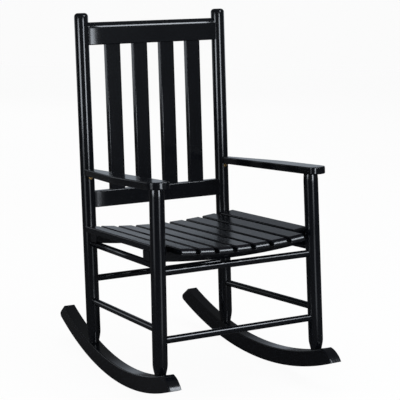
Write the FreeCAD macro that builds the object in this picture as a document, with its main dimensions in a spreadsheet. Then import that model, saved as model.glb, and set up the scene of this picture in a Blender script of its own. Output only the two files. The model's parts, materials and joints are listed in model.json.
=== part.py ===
import FreeCAD, Part
import math
import os
import re
import Sketcher

from FreeCAD import Placement, Rotation, Vector

# Slat-back child's rocking chair in black painted hardwood.
#
# Every piece is modelled in the frame of the posts: X to the side, Y to the back, Z up
# along the back posts, with the origin midway between the four posts at the level of
# the upper side rungs. Levels below count from there. At the end the whole chair leans
# back to the attitude in which it balances on its rockers and is set on the floor.

SIZES = (
    ("front_half_width", 172.8, "middle plane to front post axis, level with the upper side rungs"),
    ("back_half_width", 159.4, "middle plane to back post axis"),
    ("frame_depth", 332.9, "front post axis to back post axis"),
    ("front_splay", 0.015, "inward lean of the front posts, per unit of height"),
    ("joint_clearance", 0.15, "play round a tenon, rung or screw in its hole"),
    ("front_post_dia", 29.0, "front post"),
    ("back_post_dia", 28.5, "back post"),
    ("back_post_top", 472.3, "level of the top of a back post"),
    ("post_top_round", 7.5, "rounded edge at the top of a back post"),
    ("foot_level", -208.8, "level of the top of a rocker at the front post"),
    ("foot_dia", 21.4, "tapered post foot where it meets the rocker"),
    ("foot_taper", 20.5, "length of the taper above the rocker"),
    ("foot_tenon_dia", 14.0, "round tenon of a post in its rocker"),
    ("foot_tenon_depth", 17.0, "depth of that tenon below the top of the rocker"),
    ("head_dia", 27.0, "front post just under the arm"),
    ("head_taper", 12.0, "length of the taper under the arm"),
    ("head_tenon_dia", 14.0, "round tenon of a front post in its arm"),
    ("head_tenon_depth", 8.0, "depth of that tenon above the underside of the arm"),
    ("side_rung_dia", 13.6, "side rungs"),
    ("back_rung_dia", 13.6, "back rung"),
    ("front_rung_dia", 14.2, "front rungs"),
    ("rung_socket_depth", 9.0, "rung end below the surface of a post"),
    ("rung_chamfer", 0.8, "chamfer on a rung end"),
    ("side_rung_low", -122.0, "level of the lower side rungs"),
    ("front_upper_drop", 11.9, "upper front rung below the upper side rungs"),
    ("front_lower_drop", 19.9, "lower front rung below the lower side rungs"),
    ("back_rung_level", -76.0, "level of the back rung"),
    ("rail_thickness", 18.0, "both back rails"),
    ("rail_forward", 2.0, "middle of a rail in front of the back post axes"),
    ("rail_ease", 2.5, "front of a rail set back where it meets a post"),
    ("rail_ease_length", 24.0, "curve down to that set-back"),
    ("rail_socket_depth", 9.0, "rail end below the surface of a post"),
    ("crest_drop", 19.3, "top of the crest rail below the tops of the back posts"),
    ("crest_height", 46.0, "crest rail"),
    ("crest_front_round", 12.0, "rounded top edge of the crest rail, front"),
    ("crest_back_round", 5.0, "rounded top edge of the crest rail, back"),
    ("lower_rail_top", 107.4, "level of the top of the lower back rail"),
    ("lower_rail_height", 33.9, "lower back rail"),
    ("rail_edge_round", 2.0, "other long edges of the rails"),
    ("back_slat_width", 32.0, "back slat"),
    ("back_slat_thickness", 13.0, "back slat"),
    ("back_slat_pitch", 62.2, "back slat to back slat"),
    ("back_slat_count", 4, "back slats"),
    ("back_slat_round", 1.5, "long edges of a back slat"),
    ("back_slat_housing", 8.0, "slat end below the edge of a rail"),
    ("arm_top_front", 161.5, "level of the top of an arm above the front post"),
    ("arm_thickness", 14.6, "arm"),
    ("arm_drop", 1.12, "fall of an arm to the back, degrees"),
    ("arm_inside", 16.5, "inner edge of an arm inside the front post axis"),
    ("arm_outside", 24.7, "outer edge of an arm outside the front post axis"),
    ("arm_back_inside", 5.4, "inner edge of an arm inside the back post axis"),
    ("arm_back_width", 15.0, "arm where it meets the back post"),
    ("arm_parallel", 140.0, "full width of an arm, back from the front post axis"),
    ("arm_overhang", 30.0, "arm in front of the front post axis"),
    ("arm_inner_round", 12.0, "inner front corner of an arm, in plan"),
    ("arm_outer_round", 22.0, "outer front corner of an arm, in plan"),
    ("arm_flare", 18.0, "curve into the taper of an arm, each side of the bend, in plan"),
    ("arm_edge_round", 2.0, "edges of an arm"),
    ("arm_tenon_dia", 9.0, "round tenon of an arm in the back post"),
    ("arm_tenon_length", 9.0, "tenon below the surface of the back post"),
    ("rocker_thickness", 25.2, "rocker"),
    ("rocker_depth", 33.4, "rocker at its lowest point, top to bottom"),
    ("rocker_radius", 724.5, "running edge of a rocker"),
    ("rocker_shift", 3.55, "centre of the running edge behind the middle of the feet"),
    ("rocker_top_ahead", 4.1, "centre of the upper edge ahead of that of the running edge"),
    ("rocker_top_lift", 1.9, "centre of the upper edge above that of the running edge"),
    ("rocker_nose", 67.0, "front tip of a rocker, ahead of the front foot"),
    ("rocker_nose_cut", 32.5, "end of the upper edge behind the front tip"),
    ("rocker_nose_radius", 46.0, "curve of the nose"),
    ("rocker_tail", 171.7, "rear tip of a rocker, behind the back foot"),
    ("rocker_tail_cut", 33.0, "end of the upper edge ahead of the rear tip"),
    ("rocker_tail_round", 8.0, "lower corner of the tail"),
    ("rocker_edge_round", 2.0, "long edges of a rocker"),
    ("seat_slat_count", 9, "seat slats"),
    ("seat_slat_width", 31.7, "seat slat"),
    ("seat_slat_thickness", 13.0, "seat slat"),
    ("seat_slat_round", 2.2, "long edges of a seat slat"),
    ("seat_nose_round", 10.8, "rounded top of the front end of a seat slat"),
    ("seat_nose_under", 1.2, "lower edge of that end"),
    ("seat_front_side_gap", 14.95, "front post to the second slat in, at the front post axes"),
    ("seat_back_side_gap", 13.45, "back post to the second slat in, at the back post axes"),
    ("seat_radius", 1290.0, "dish of the seat from side to side, at the front batten"),
    ("seat_lift", 0.15, "slat underside above the batten arc"),
    ("seat_overhang", 28.0, "slat noses in front of the front post axes"),
    ("seat_back_gap", 6.4, "slat ends in front of the back post axes"),
    ("seat_corner_gap", 2.5, "gap between an outermost slat and the posts"),
    ("batten_width", 28.0, "seat batten, front to back"),
    ("batten_depth", 18.2, "seat batten, top to bottom"),
    ("front_batten_back", 39.4, "front batten behind the front post axes"),
    ("back_batten_front", 32.4, "back batten in front of the back post axes"),
    ("batten_overhang", 6.0, "batten end outside the axis of the side rung"),
    ("saddle_depth", 1.1, "front batten let down over the side rung"),
    ("slat_screw_dia", 3.5, "screw up through a batten into a seat slat"),
    ("slat_screw_head", 7.0, "head of that screw"),
    ("slat_screw_recess", 9.0, "head seat above the underside of the batten"),
    ("slat_screw_bite", 7.0, "screw inside the slat"),
    ("rung_screw_dia", 4.0, "screw up through a side rung into a batten"),
    ("rung_screw_head", 7.5, "head of that screw"),
    ("rung_screw_recess", 3.5, "head seat above the underside of the rung"),
    ("rung_screw_bite", 10.0, "screw above the top of the rung"),
    ("rung_screw_offset", 7.5, "that screw off the middle of the batten, towards the middle of the seat"),
    ("screw_head_height", 2.2, "heads of the seat screws"),
    ("arm_screw_dia", 4.5, "brass screw in the back post under an arm"),
    ("arm_screw_head", 7.5, "round head of the brass screw"),
    ("arm_screw_head_height", 3.0, "round head of the brass screw"),
    ("arm_screw_length", 14.0, "brass screw inside the post"),
)

# Densities, in grams per cubic millimetre
WOOD = 0.0006
STEEL = 0.00785
BRASS = 0.0085

# A drill starts this far outside the surface that it enters
APPROACH = 20.0

doc = FreeCAD.newDocument("rocking_chair")
sheet = doc.addObject("Spreadsheet::Sheet", "Sizes")
for row, (alias, value, note) in enumerate(SIZES, start=1):
    sheet.set("A%d" % row, alias)
    sheet.set("B%d" % row, str(value))
    sheet.set("C%d" % row, note)
    sheet.setAlias("B%d" % row, alias)
doc.recompute()

SIZE_NAMES = re.compile(r"\b(" + "|".join(alias for alias, value, note in SIZES) + r")\b")


def bound(text):
    """Expression in which each size name points at its cell."""
    return SIZE_NAMES.sub(r"Sizes.\1", text)


def number(text):
    """Present value of an expression in the sizes."""
    return float(sheet.evalExpression(bound(text)))


# Sketches

def new_body(label):
    """Empty body whose label names the piece."""
    body = doc.addObject("PartDesign::Body", label)
    body.Label = label
    return body


def new_sketch(body, name, plane="XY_Plane", at=Placement()):
    """Sketch on one of the body's own origin planes, offset by a placement in that plane's axes."""
    sketch = body.newObject("Sketcher::SketchObject", name)
    support = next(item for item in body.Origin.OriginFeatures if item.Role == plane)
    sketch.AttachmentSupport = [(support, "")]
    sketch.MapMode = "FlatFace"
    sketch.AttachmentOffset = at
    return sketch


def dimension(sketch, kind, geo, text):
    """Radius or diameter of one sketch element, bound to an expression."""
    index = sketch.addConstraint(Sketcher.Constraint(kind, geo, number(text)))
    sketch.setExpression("Constraints[%d]" % index, bound(text))


def pin(sketch, geo, point, x, y):
    """Position of one sketch point, bound to two expressions."""
    for kind, axis, text in (("DistanceX", -2, x), ("DistanceY", -1, y)):
        if text == "0":
            sketch.addConstraint(Sketcher.Constraint("PointOnObject", geo, point, axis))
        else:
            index = sketch.addConstraint(Sketcher.Constraint(kind, -1, 1, geo, point, number(text)))
            sketch.setExpression("Constraints[%d]" % index, bound(text))


def arc_between(start, stop, radius, turn):
    """Arc from start to stop, turning left (turn 1) or right (turn -1)."""
    chord = stop - start
    middle = (start + stop) * 0.5
    reach = math.sqrt(radius ** 2 - (chord.Length / 2) ** 2)
    left = Vector(-chord.y, chord.x, 0).normalize()
    centre = middle + left * (turn * reach)
    first, last = (start, stop) if turn > 0 else (stop, start)
    angles = [math.atan2(point.y - centre.y, point.x - centre.x) for point in (first, last)]
    return Part.ArcOfCircle(Part.Circle(centre, Vector(0, 0, 1), radius), angles[0], angles[1])


def outline(sketch, corners):
    """Closed outline through corners (x, y), or (x, y, radius, turn) where an arc follows."""
    points = [Vector(number(corner[0]), number(corner[1]), 0) for corner in corners]
    sides = []
    for index, corner in enumerate(corners):
        start = points[index]
        stop = points[(index + 1) % len(points)]
        if len(corner) == 2:
            geo = sketch.addGeometry(Part.LineSegment(start, stop))
            sides.append((geo, 1, 2))
            continue
        radius, turn = corner[2:]
        geo = sketch.addGeometry(arc_between(start, stop, number(radius), turn))
        sides.append((geo, 1, 2) if turn > 0 else (geo, 2, 1))
    for index, (geo, start, stop) in enumerate(sides):
        following, its_start, its_stop = sides[(index + 1) % len(sides)]
        sketch.addConstraint(Sketcher.Constraint("Coincident", geo, stop, following, its_start))
    for corner, (geo, start, stop) in zip(corners, sides):
        pin(sketch, geo, start, corner[0], corner[1])
        if len(corner) > 2:
            dimension(sketch, "Radius", geo, corner[2])


def rectangle(sketch, width, height, x="0", y="0"):
    """Rectangle about a centre point."""
    low_x, high_x = "%s - (%s) / 2" % (x, width), "%s + (%s) / 2" % (x, width)
    low_y, high_y = "%s - (%s) / 2" % (y, height), "%s + (%s) / 2" % (y, height)
    outline(sketch, ((low_x, low_y), (high_x, low_y), (high_x, high_y), (low_x, high_y)))


def circle(sketch, dia):
    """Circle about the sketch origin."""
    geo = sketch.addGeometry(Part.Circle(Vector(), Vector(0, 0, 1), number(dia) / 2))
    dimension(sketch, "Diameter", geo, dia)
    pin(sketch, geo, 3, "0", "0")


# Features

def step(body, kind, name, settings, sizes, grows):
    """Next feature of a body, which has to add or remove material as it should."""
    before = 0.0 if body.Shape.isNull() else body.Shape.Volume
    item = body.newObject("PartDesign::" + kind, name)
    for key, value in settings.items():
        setattr(item, key, value)
    for key, text in sizes.items():
        item.setExpression(key, bound(text))
    body.Tip = item
    doc.recompute()
    if (body.Shape.Volume > before) != grows:
        raise RuntimeError("%s of %s works the wrong way" % (name, body.Label))
    return item


def pad(body, sketch, length, side="One side"):
    """Extrusion along the sketch normal."""
    settings = {"Profile": sketch, "Type": "Length", "SideType": side}
    return step(body, "Pad", sketch.Name + "_pad", settings, {"Length": length}, True)


def pocket(body, sketch, length, side="One side"):
    """Cut against the sketch normal, or to both sides."""
    settings = {"Profile": sketch, "Type": "Length", "SideType": side}
    return step(body, "Pocket", sketch.Name + "_cut", settings, {"Length": length}, False)


def revolve(body, sketch):
    """Turned form about the sketch's vertical axis."""
    settings = {"Profile": sketch, "ReferenceAxis": (sketch, ["V_Axis"]), "Angle": 360}
    return step(body, "Revolution", sketch.Name + "_turned", settings, {}, True)


def round_edges(body, name, radius, chosen):
    """Fillet on the edges of the last feature that a test picks."""
    tip = body.Tip
    names = ["Edge%d" % place for place, edge in enumerate(tip.Shape.Edges, start=1) if chosen(edge)]
    return step(body, "Fillet", name, {"Base": (tip, names)}, {"Radius": radius}, False)


def facing(direction, up):
    """Rotation whose Z axis points along direction, with Y as near to up as it can be."""
    z_axis = Vector(direction).normalize()
    x_axis = up.cross(z_axis).normalize()
    return Rotation(x_axis, z_axis.cross(x_axis), z_axis, "ZXY")


def drill(body, local, name, start, direction, dia, length):
    """Round hole from a start point of the chair frame, in a body that sits at local."""
    up = Vector(0, 0, 1) if abs(direction.z) < 0.9 * direction.Length else Vector(0, 1, 0)
    sketch = new_sketch(body, name, at=local.inverse() * Placement(start, facing(-direction, up)))
    circle(sketch, dia)
    return pocket(body, sketch, length)


def is_parallel(edge, direction):
    """True for a straight edge along a direction."""
    if not isinstance(edge.Curve, Part.Line):
        return False
    return abs(edge.Curve.Direction.dot(direction)) > 0.999


pieces = []


def place(piece, local, density=WOOD):
    """Put a finished piece at its place in the chair frame and list it."""
    piece.Placement = local
    pieces.append((piece, density))
    return piece


def mirrored(piece, label, density=WOOD):
    """Opposite hand of a piece, across the middle plane."""
    twin = doc.addObject("Part::Mirroring", label)
    twin.Label = label
    twin.Source = piece
    twin.Base = Vector(0, 0, 0)
    twin.Normal = Vector(1, 0, 0)
    pieces.append((twin, density))
    return twin


# Layout: the right-hand posts, rungs and rocker, whose twins stand across the middle plane

FIT = "2 * joint_clearance"
FOOT_HALF = "(front_half_width - front_splay * foot_level)"
FOOT_SPAN = "sqrt(frame_depth ^ 2 + (%s - back_half_width) ^ 2)" % FOOT_HALF
ROLL_BACK = "(%s / 2 + rocker_shift)" % FOOT_SPAN
TOP_BACK = "(%s - rocker_top_ahead)" % ROLL_BACK
TOP_RADIUS = "(rocker_radius - rocker_depth + rocker_top_lift)"
TOP_RISE = "(foot_level + sqrt(%s ^ 2 - %s ^ 2))" % (TOP_RADIUS, TOP_BACK)
ROLL_RISE = "(%s - rocker_top_lift)" % TOP_RISE


def running_edge(along):
    """Level of a rocker's running edge, at one place behind the front foot."""
    return "(%s - sqrt(rocker_radius ^ 2 - (%s - %s) ^ 2))" % (ROLL_RISE, along, ROLL_BACK)


def upper_edge(along, radius=TOP_RADIUS):
    """Level of a rocker's upper edge, or of an arc about its centre, behind the front foot."""
    return "(%s - sqrt(%s ^ 2 - (%s - %s) ^ 2))" % (TOP_RISE, radius, along, TOP_BACK)


BACK_FOOT = upper_edge(FOOT_SPAN)

half_depth = number("frame_depth / 2")
splay = math.degrees(math.atan(number("front_splay")))
upright = Vector(0, 0, 1)
backward = Vector(0, 1, 0)


def front_axis(level):
    """Point of the right front post's axis."""
    return Vector(number("front_half_width - front_splay * (%s)" % level), -half_depth, number(level))


def back_axis(level):
    """Point of the right back post's axis."""
    return Vector(number("back_half_width"), half_depth, number(level))


def opposite(point):
    """Point across the middle plane."""
    return Vector(-point.x, point.y, point.z)


toe = math.degrees(math.atan2(number(FOOT_HALF + " - back_half_width"), number("frame_depth")))
rocker_place = Placement(Vector(number(FOOT_HALF), -half_depth, 0), Rotation(upright, toe))
side_view = Placement(Vector(), Rotation(Vector(1, 1, 1), 120))
front_post_place = Placement(front_axis("0"), Rotation(Vector(0, 1, 0), -splay))
back_post_place = Placement(back_axis("0"), Rotation())

ARM_LEVEL = "(arm_top_front - arm_thickness)"
ARM_AXIS = "(front_half_width - front_splay * %s)" % ARM_LEVEL
ARM_INNER = "(%s - arm_inside)" % ARM_AXIS
ARM_OUTER = "(%s + arm_outside)" % ARM_AXIS
ARM_BACK_INNER = "(back_half_width - arm_back_inside)"
arm_tilt = Rotation(Vector(1, 0, 0), -number("arm_drop"))
arm_place = Placement(Vector(0, -half_depth, number(ARM_LEVEL)), arm_tilt)
ARM_END_LEVEL = "(%s - frame_depth * tan(arm_drop))" % ARM_LEVEL
ARM_TENON_X = "(%s + arm_back_width / 2)" % ARM_BACK_INNER
ARM_SCREW_LEVEL = "(%s - arm_screw_head / 2 - joint_clearance)" % ARM_END_LEVEL

SIDE_LEVELS = (("upper", "0"), ("lower", "side_rung_low"))
FRONT_LEVELS = (("upper", "-front_upper_drop"), ("lower", "side_rung_low - front_lower_drop"))
CREST_TOP = "(back_post_top - crest_drop)"


def socket(body, local, name, axis_point, toward, post_dia, dia, depth):
    """Round socket in a post, from its surface towards its axis."""
    outward = Vector(toward).normalize()
    start = axis_point + outward * (number(post_dia) / 2 + APPROACH)
    drill(body, local, name, start, -outward, dia, "%s + %s" % (depth, APPROACH))


def foot(body, local, name, post_dia, level, along):
    """Foot of a post, cut to the top of the rocker, with its tenon."""
    cut = new_sketch(body, name + "_cope", at=local.inverse() * rocker_place * side_view)
    fit_radius = "(%s - joint_clearance)" % TOP_RADIUS
    low = "%s - foot_dia" % level
    front = "%s - %s" % (along, post_dia)
    back = "%s + %s" % (along, post_dia)
    back_top = upper_edge("(%s)" % back, fit_radius)
    front_top = upper_edge("(%s)" % front, fit_radius)
    outline(cut, ((front, low), (back, low), (back, back_top, fit_radius, -1), (front, front_top)))
    pocket(body, cut, "2 * " + post_dia, "Symmetric")
    below = Vector(0, 0, number("%s - foot_tenon_depth" % level))
    tenon = new_sketch(body, name + "_tenon", at=Placement(below, Rotation()))
    circle(tenon, "foot_tenon_dia")
    pad(body, tenon, "foot_tenon_depth + foot_taper")


def front_post():
    """Right front post: turned, tapered at both ends, with a tenon up into the arm."""
    body = new_body("post_front_right")
    profile = new_sketch(body, "front_post_profile", "XZ_Plane")
    top = "%s + head_dia / 8" % ARM_LEVEL
    outline(profile, (
        ("0", "foot_level - foot_dia / 2"),
        ("foot_dia / 2", "foot_level - foot_dia / 2"),
        ("foot_dia / 2", "foot_level"),
        ("front_post_dia / 2", "foot_level + foot_taper"),
        ("front_post_dia / 2", "%s - head_taper" % ARM_LEVEL),
        ("head_dia / 2", ARM_LEVEL),
        ("head_dia / 2", top),
        ("0", top),
    ))
    revolve(body, profile)
    local = front_post_place
    head = new_sketch(body, "front_post_head", at=local.inverse() * arm_place * Placement(
        Vector(number(ARM_AXIS), 0, number("head_dia")), Rotation()))
    rectangle(head, "2 * head_dia", "2 * head_dia")
    pocket(body, head, "head_dia")
    neck = Placement(Vector(0, 0, number("%s - head_taper" % ARM_LEVEL)), Rotation())
    tenon = new_sketch(body, "front_post_tenon", at=neck)
    circle(tenon, "head_tenon_dia")
    pad(body, tenon, "head_taper + head_tenon_depth")
    foot(body, local, "front_foot", "front_post_dia", "foot_level", "0")
    for name, level in SIDE_LEVELS:
        here, there = front_axis(level), back_axis(level)
        socket(body, local, "side_socket_" + name, here, there - here, "front_post_dia",
               "side_rung_dia + " + FIT, "rung_socket_depth")
    for name, level in FRONT_LEVELS:
        here = front_axis(level)
        socket(body, local, "front_socket_" + name, here, Vector(-1, 0, 0), "front_post_dia",
               "front_rung_dia + " + FIT, "rung_socket_depth")
    return place(body, local)


RAIL_MIDDLE = "(frame_depth / 2 - rail_forward)"
RAIL_FRONT = "(%s - rail_thickness / 2)" % RAIL_MIDDLE
RAIL_BACK = "(%s + rail_thickness / 2)" % RAIL_MIDDLE
RAIL_SHOULDER = "(back_half_width - back_post_dia / 2)"


def rail_mortise(body, local, name, top, height):
    """Slot in a back post for the eased end of a rail."""
    inward = Vector(-1, 0, 0)
    start = Vector(number(RAIL_SHOULDER) - APPROACH, number(RAIL_MIDDLE + " + rail_ease / 2"),
                   number("%s - %s / 2" % (top, height)))
    sketch = new_sketch(body, name, at=local.inverse() * Placement(start, facing(inward, upright)))
    rectangle(sketch, "rail_thickness - rail_ease + " + FIT, height + " + " + FIT)
    pocket(body, sketch, "rail_socket_depth + %s" % APPROACH)


def back_post():
    """Right back post: turned, with sockets for rungs, rails, arm and screw."""
    body = new_body("post_back_right")
    profile = new_sketch(body, "back_post_profile", "XZ_Plane")
    outline(profile, (
        ("0", "%s - foot_dia / 2" % BACK_FOOT),
        ("foot_dia / 2", "%s - foot_dia / 2" % BACK_FOOT),
        ("foot_dia / 2", BACK_FOOT),
        ("back_post_dia / 2", "%s + foot_taper" % BACK_FOOT),
        ("back_post_dia / 2", "back_post_top - post_top_round", "post_top_round", 1),
        ("back_post_dia / 2 - post_top_round", "back_post_top"),
        ("0", "back_post_top"),
    ))
    revolve(body, profile)
    local = back_post_place
    foot(body, local, "back_foot", "back_post_dia", BACK_FOOT, FOOT_SPAN)
    for name, level in SIDE_LEVELS:
        here, there = back_axis(level), front_axis(level)
        socket(body, local, "side_socket_" + name, here, there - here, "back_post_dia",
               "side_rung_dia + " + FIT, "rung_socket_depth")
    socket(body, local, "back_socket", back_axis("back_rung_level"), Vector(-1, 0, 0), "back_post_dia",
           "back_rung_dia + " + FIT, "rung_socket_depth")
    rail_mortise(body, local, "crest_mortise", CREST_TOP, "crest_height")
    rail_mortise(body, local, "lower_mortise", "lower_rail_top", "lower_rail_height")
    arm_forward = arm_tilt * Vector(0, -1, 0)
    tenon_axis = back_axis("%s + arm_thickness / 2" % ARM_END_LEVEL)
    tenon_axis.x = number(ARM_TENON_X)
    socket(body, local, "arm_socket", tenon_axis, arm_forward, "back_post_dia",
           "arm_tenon_dia + " + FIT, "arm_tenon_length")
    socket(body, local, "arm_screw_hole", back_axis(ARM_SCREW_LEVEL), -backward, "back_post_dia",
           "arm_screw_dia + " + FIT, "arm_screw_length")
    return place(body, local)


def rung(label, start, stop, dia, length):
    """Round rung between two points of post axes, with chamfered ends."""
    body = new_body(label)
    span = stop - start
    section = new_sketch(body, label + "_section")
    circle(section, dia)
    bar = pad(body, section, length, "Symmetric")
    ends = [name for name in ("Edge%d" % index for index in range(1, len(bar.Shape.Edges) + 1))
            if bar.Shape.getElement(name).isClosed()]
    step(body, "Chamfer", label + "_ends", {"Base": (bar, ends)}, {"Size": "rung_chamfer"}, False)
    return body, Placement((start + stop) * 0.5, facing(span, upright))


def side_rung(name, level):
    """Right side rung from the front post to the back post."""
    half = "(front_half_width - front_splay * (%s))" % level
    length = ("sqrt(frame_depth ^ 2 + (%s - back_half_width) ^ 2) - (front_post_dia + back_post_dia) / 2"
              " + 2 * rung_socket_depth - %s" % (half, FIT))
    start, stop = front_axis(level), back_axis(level)
    body, local = rung("side_rung_%s_right" % name, start, stop, "side_rung_dia", length)
    middle_shift = number("(front_post_dia - back_post_dia) / 4")
    local.Base = local.Base + (stop - start).normalize() * middle_shift
    return body, local


def cross_rung(label, point, half, dia, post_dia):
    """Rung across the chair, between the axes of two posts."""
    length = "2 * (%s) - %s + 2 * rung_socket_depth - %s" % (half, post_dia, FIT)
    return place(*rung(label, opposite(point), point, dia, length))


def rocker():
    """Right rocker: a bent runner with a curved nose, a rounded tail and two sockets for the posts."""
    body = new_body("rocker_right")
    profile = new_sketch(body, "rocker_profile", "YZ_Plane")

    tail = "(%s + rocker_tail)" % FOOT_SPAN
    tail_top = "(%s - rocker_tail_cut)" % tail
    nose_top = "(rocker_nose_cut - rocker_nose)"
    outline(profile, (
        ("-rocker_nose", running_edge("(-rocker_nose)"), "rocker_radius", 1),
        (tail, running_edge(tail)),
        (tail_top, upper_edge(tail_top), TOP_RADIUS, -1),
        (nose_top, upper_edge(nose_top), "rocker_nose_radius", 1),
    ))
    pad(body, profile, "rocker_thickness", "Symmetric")
    tail_low = Vector(0, number(tail), number(running_edge(tail)))
    round_edges(body, "rocker_tail_corner", "rocker_tail_round",
                lambda edge: is_parallel(edge, Vector(1, 0, 0)) and edge.distToShape(
                    Part.Vertex(tail_low))[0] < 0.01)
    long_radii = (number("rocker_radius"), number(TOP_RADIUS))
    round_edges(body, "rocker_edges", "rocker_edge_round",
                lambda edge: hasattr(edge.Curve, "Radius") and round(edge.Curve.Radius, 3) in
                [round(radius, 3) for radius in long_radii])
    local = rocker_place
    depth = "foot_tenon_depth + joint_clearance"
    hole = "foot_tenon_dia + " + FIT
    for name, point, axis in (("front", front_axis("foot_level"), front_post_place.Rotation * upright),
                              ("back", back_axis(BACK_FOOT), upright)):
        drill(body, local, name + "_foot_socket", point + axis * APPROACH, -axis, hole,
              "%s + %s" % (depth, APPROACH))
    return place(body, local)


def arm():
    """Right arm: a flat paddle, tapered to the back post, with a round tenon and a socket."""
    body = new_body("arm_right")
    plan = new_sketch(body, "arm_plan")
    taper = "((%s - %s - arm_back_width) / (frame_depth - arm_parallel))" % (ARM_OUTER, ARM_BACK_INNER)
    slant = "sqrt(1 + %s ^ 2)" % taper
    bend = "(arm_flare * (1 + %s) / abs(%s))" % (slant, taper)
    outline(plan, (
        (ARM_INNER, "-arm_overhang"),
        (ARM_OUTER, "-arm_overhang"),
        (ARM_OUTER, "arm_parallel - arm_flare", bend, 1 if number(taper) > 0 else -1),
        ("%s - arm_flare * %s / %s" % (ARM_OUTER, taper, slant), "arm_parallel + arm_flare / " + slant),
        (ARM_BACK_INNER + " + arm_back_width", "frame_depth"),
        (ARM_BACK_INNER, "frame_depth"),
    ))
    pad(body, plan, "arm_thickness")

    def corner(edge, x, y):
        middle = edge.CenterOfMass
        return is_parallel(edge, upright) and math.hypot(middle.x - number(x), middle.y - number(y)) < 0.01

    round_edges(body, "arm_inner_corner", "arm_inner_round",
                lambda edge: corner(edge, ARM_INNER, "-arm_overhang"))
    round_edges(body, "arm_outer_corner", "arm_outer_round",
                lambda edge: corner(edge, ARM_OUTER, "-arm_overhang"))
    back_edge = number("frame_depth")
    round_edges(body, "arm_edges", "arm_edge_round",
                lambda edge: not is_parallel(edge, upright) and edge.BoundBox.YMin < back_edge - 1)
    local = arm_place
    post_hole = back_axis(ARM_END_LEVEL)
    drill(body, local, "arm_cope", post_hole + upright * number("2 * arm_thickness"), -upright,
          "back_post_dia + " + FIT, "4 * arm_thickness")
    post_axis = front_post_place.Rotation * upright
    drill(body, local, "arm_socket", front_axis(ARM_LEVEL) - post_axis * APPROACH, post_axis,
          "head_tenon_dia + " + FIT, "head_tenon_depth + joint_clearance + %s" % APPROACH)
    behind = Vector(number(ARM_TENON_X), number("frame_depth - back_post_dia"), number("arm_thickness / 2"))
    tenon = new_sketch(body, "arm_tenon", at=Placement(behind, facing(backward, upright)))
    circle(tenon, "arm_tenon_dia")
    pad(body, tenon, "back_post_dia / 2 + arm_tenon_length - joint_clearance")
    return place(body, local)


def back_rail(label, top, height, front_round, back_round):
    """Rail between the back posts, with its front eased back to both of them."""
    body = new_body(label)
    section = new_sketch(body, label + "_section", "YZ_Plane")
    low = "%s - %s" % (top, height)
    edge = "rail_edge_round"
    outline(section, (
        (RAIL_FRONT + " + " + edge, low),
        (RAIL_BACK + " - " + edge, low, edge, 1),
        (RAIL_BACK, low + " + " + edge),
        (RAIL_BACK, "%s - %s" % (top, back_round), back_round, 1),
        ("%s - %s" % (RAIL_BACK, back_round), top),
        ("%s + %s" % (RAIL_FRONT, front_round), top, front_round, 1),
        (RAIL_FRONT, "%s - %s" % (top, front_round)),
        (RAIL_FRONT, low + " + " + edge, edge, 1),
    ))
    end = "(%s + rail_socket_depth - joint_clearance)" % RAIL_SHOULDER
    pad(body, section, "2 * " + end, "Symmetric")
    slope = new_sketch(body, label + "_ease", at=Placement(Vector(0, 0, number(top)), Rotation()))
    outline(slope, (
        (RAIL_SHOULDER + " - rail_ease_length", RAIL_FRONT),
        (end, RAIL_FRONT),
        (end, RAIL_FRONT + " + rail_ease"),
        (RAIL_SHOULDER, RAIL_FRONT + " + rail_ease",
         "(rail_ease_length ^ 2 + rail_ease ^ 2) / (2 * rail_ease)", -1),
    ))
    ease = pocket(body, slope, height)
    mirror_plane = next(item for item in body.Origin.OriginFeatures if item.Role == "YZ_Plane")
    settings = {"Originals": [ease], "MirrorPlane": (mirror_plane, [""])}
    step(body, "Mirrored", label + "_both_ends", settings, {}, False)
    return body


def slat_offset(index):
    """Distance of a back slat from the middle plane, as an expression."""
    return "(%d - (back_slat_count - 1) / 2) * back_slat_pitch" % index


def house_slats(body, level, downward):
    """Row of slots for the slat ends along one edge of a rail."""
    start = Vector(number(slat_offset(0)), number(RAIL_MIDDLE), number(level))
    up = Vector(0, 0, -1) if downward else upright
    sketch = new_sketch(body, body.Label + "_slot", at=Placement(start + up * APPROACH, facing(up, backward)))
    rectangle(sketch, "back_slat_width + " + FIT, "back_slat_thickness + " + FIT)
    slot = pocket(body, sketch, "back_slat_housing + %s" % APPROACH)
    axis = next(item for item in body.Origin.OriginFeatures if item.Role == "X_Axis")
    settings = {"Originals": [slot], "Direction": (axis, [""]), "Occurrences": int(number("back_slat_count"))}
    step(body, "LinearPattern", body.Label + "_slots", settings,
         {"Length": "(back_slat_count - 1) * back_slat_pitch"}, False)


def back_slat(index):
    """Flat back slat, housed in both rails."""
    body = new_body("back_slat_%d" % (index + 1))
    section = new_sketch(body, "back_slat_section_%d" % (index + 1))
    rectangle(section, "back_slat_width", "back_slat_thickness")
    length = ("%s - crest_height - lower_rail_top + 2 * back_slat_housing - 2 * joint_clearance"
              % CREST_TOP)
    pad(body, section, length)
    round_edges(body, "back_slat_edges_%d" % (index + 1), "back_slat_round",
                lambda edge: is_parallel(edge, upright))
    level = number("lower_rail_top - back_slat_housing + joint_clearance")
    at = Vector(number(slat_offset(index)), number(RAIL_MIDDLE), level)
    return place(body, Placement(at, Rotation()))


# Seat: slats on the rules of a shallow cone, so that each lies flat on both battens

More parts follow.
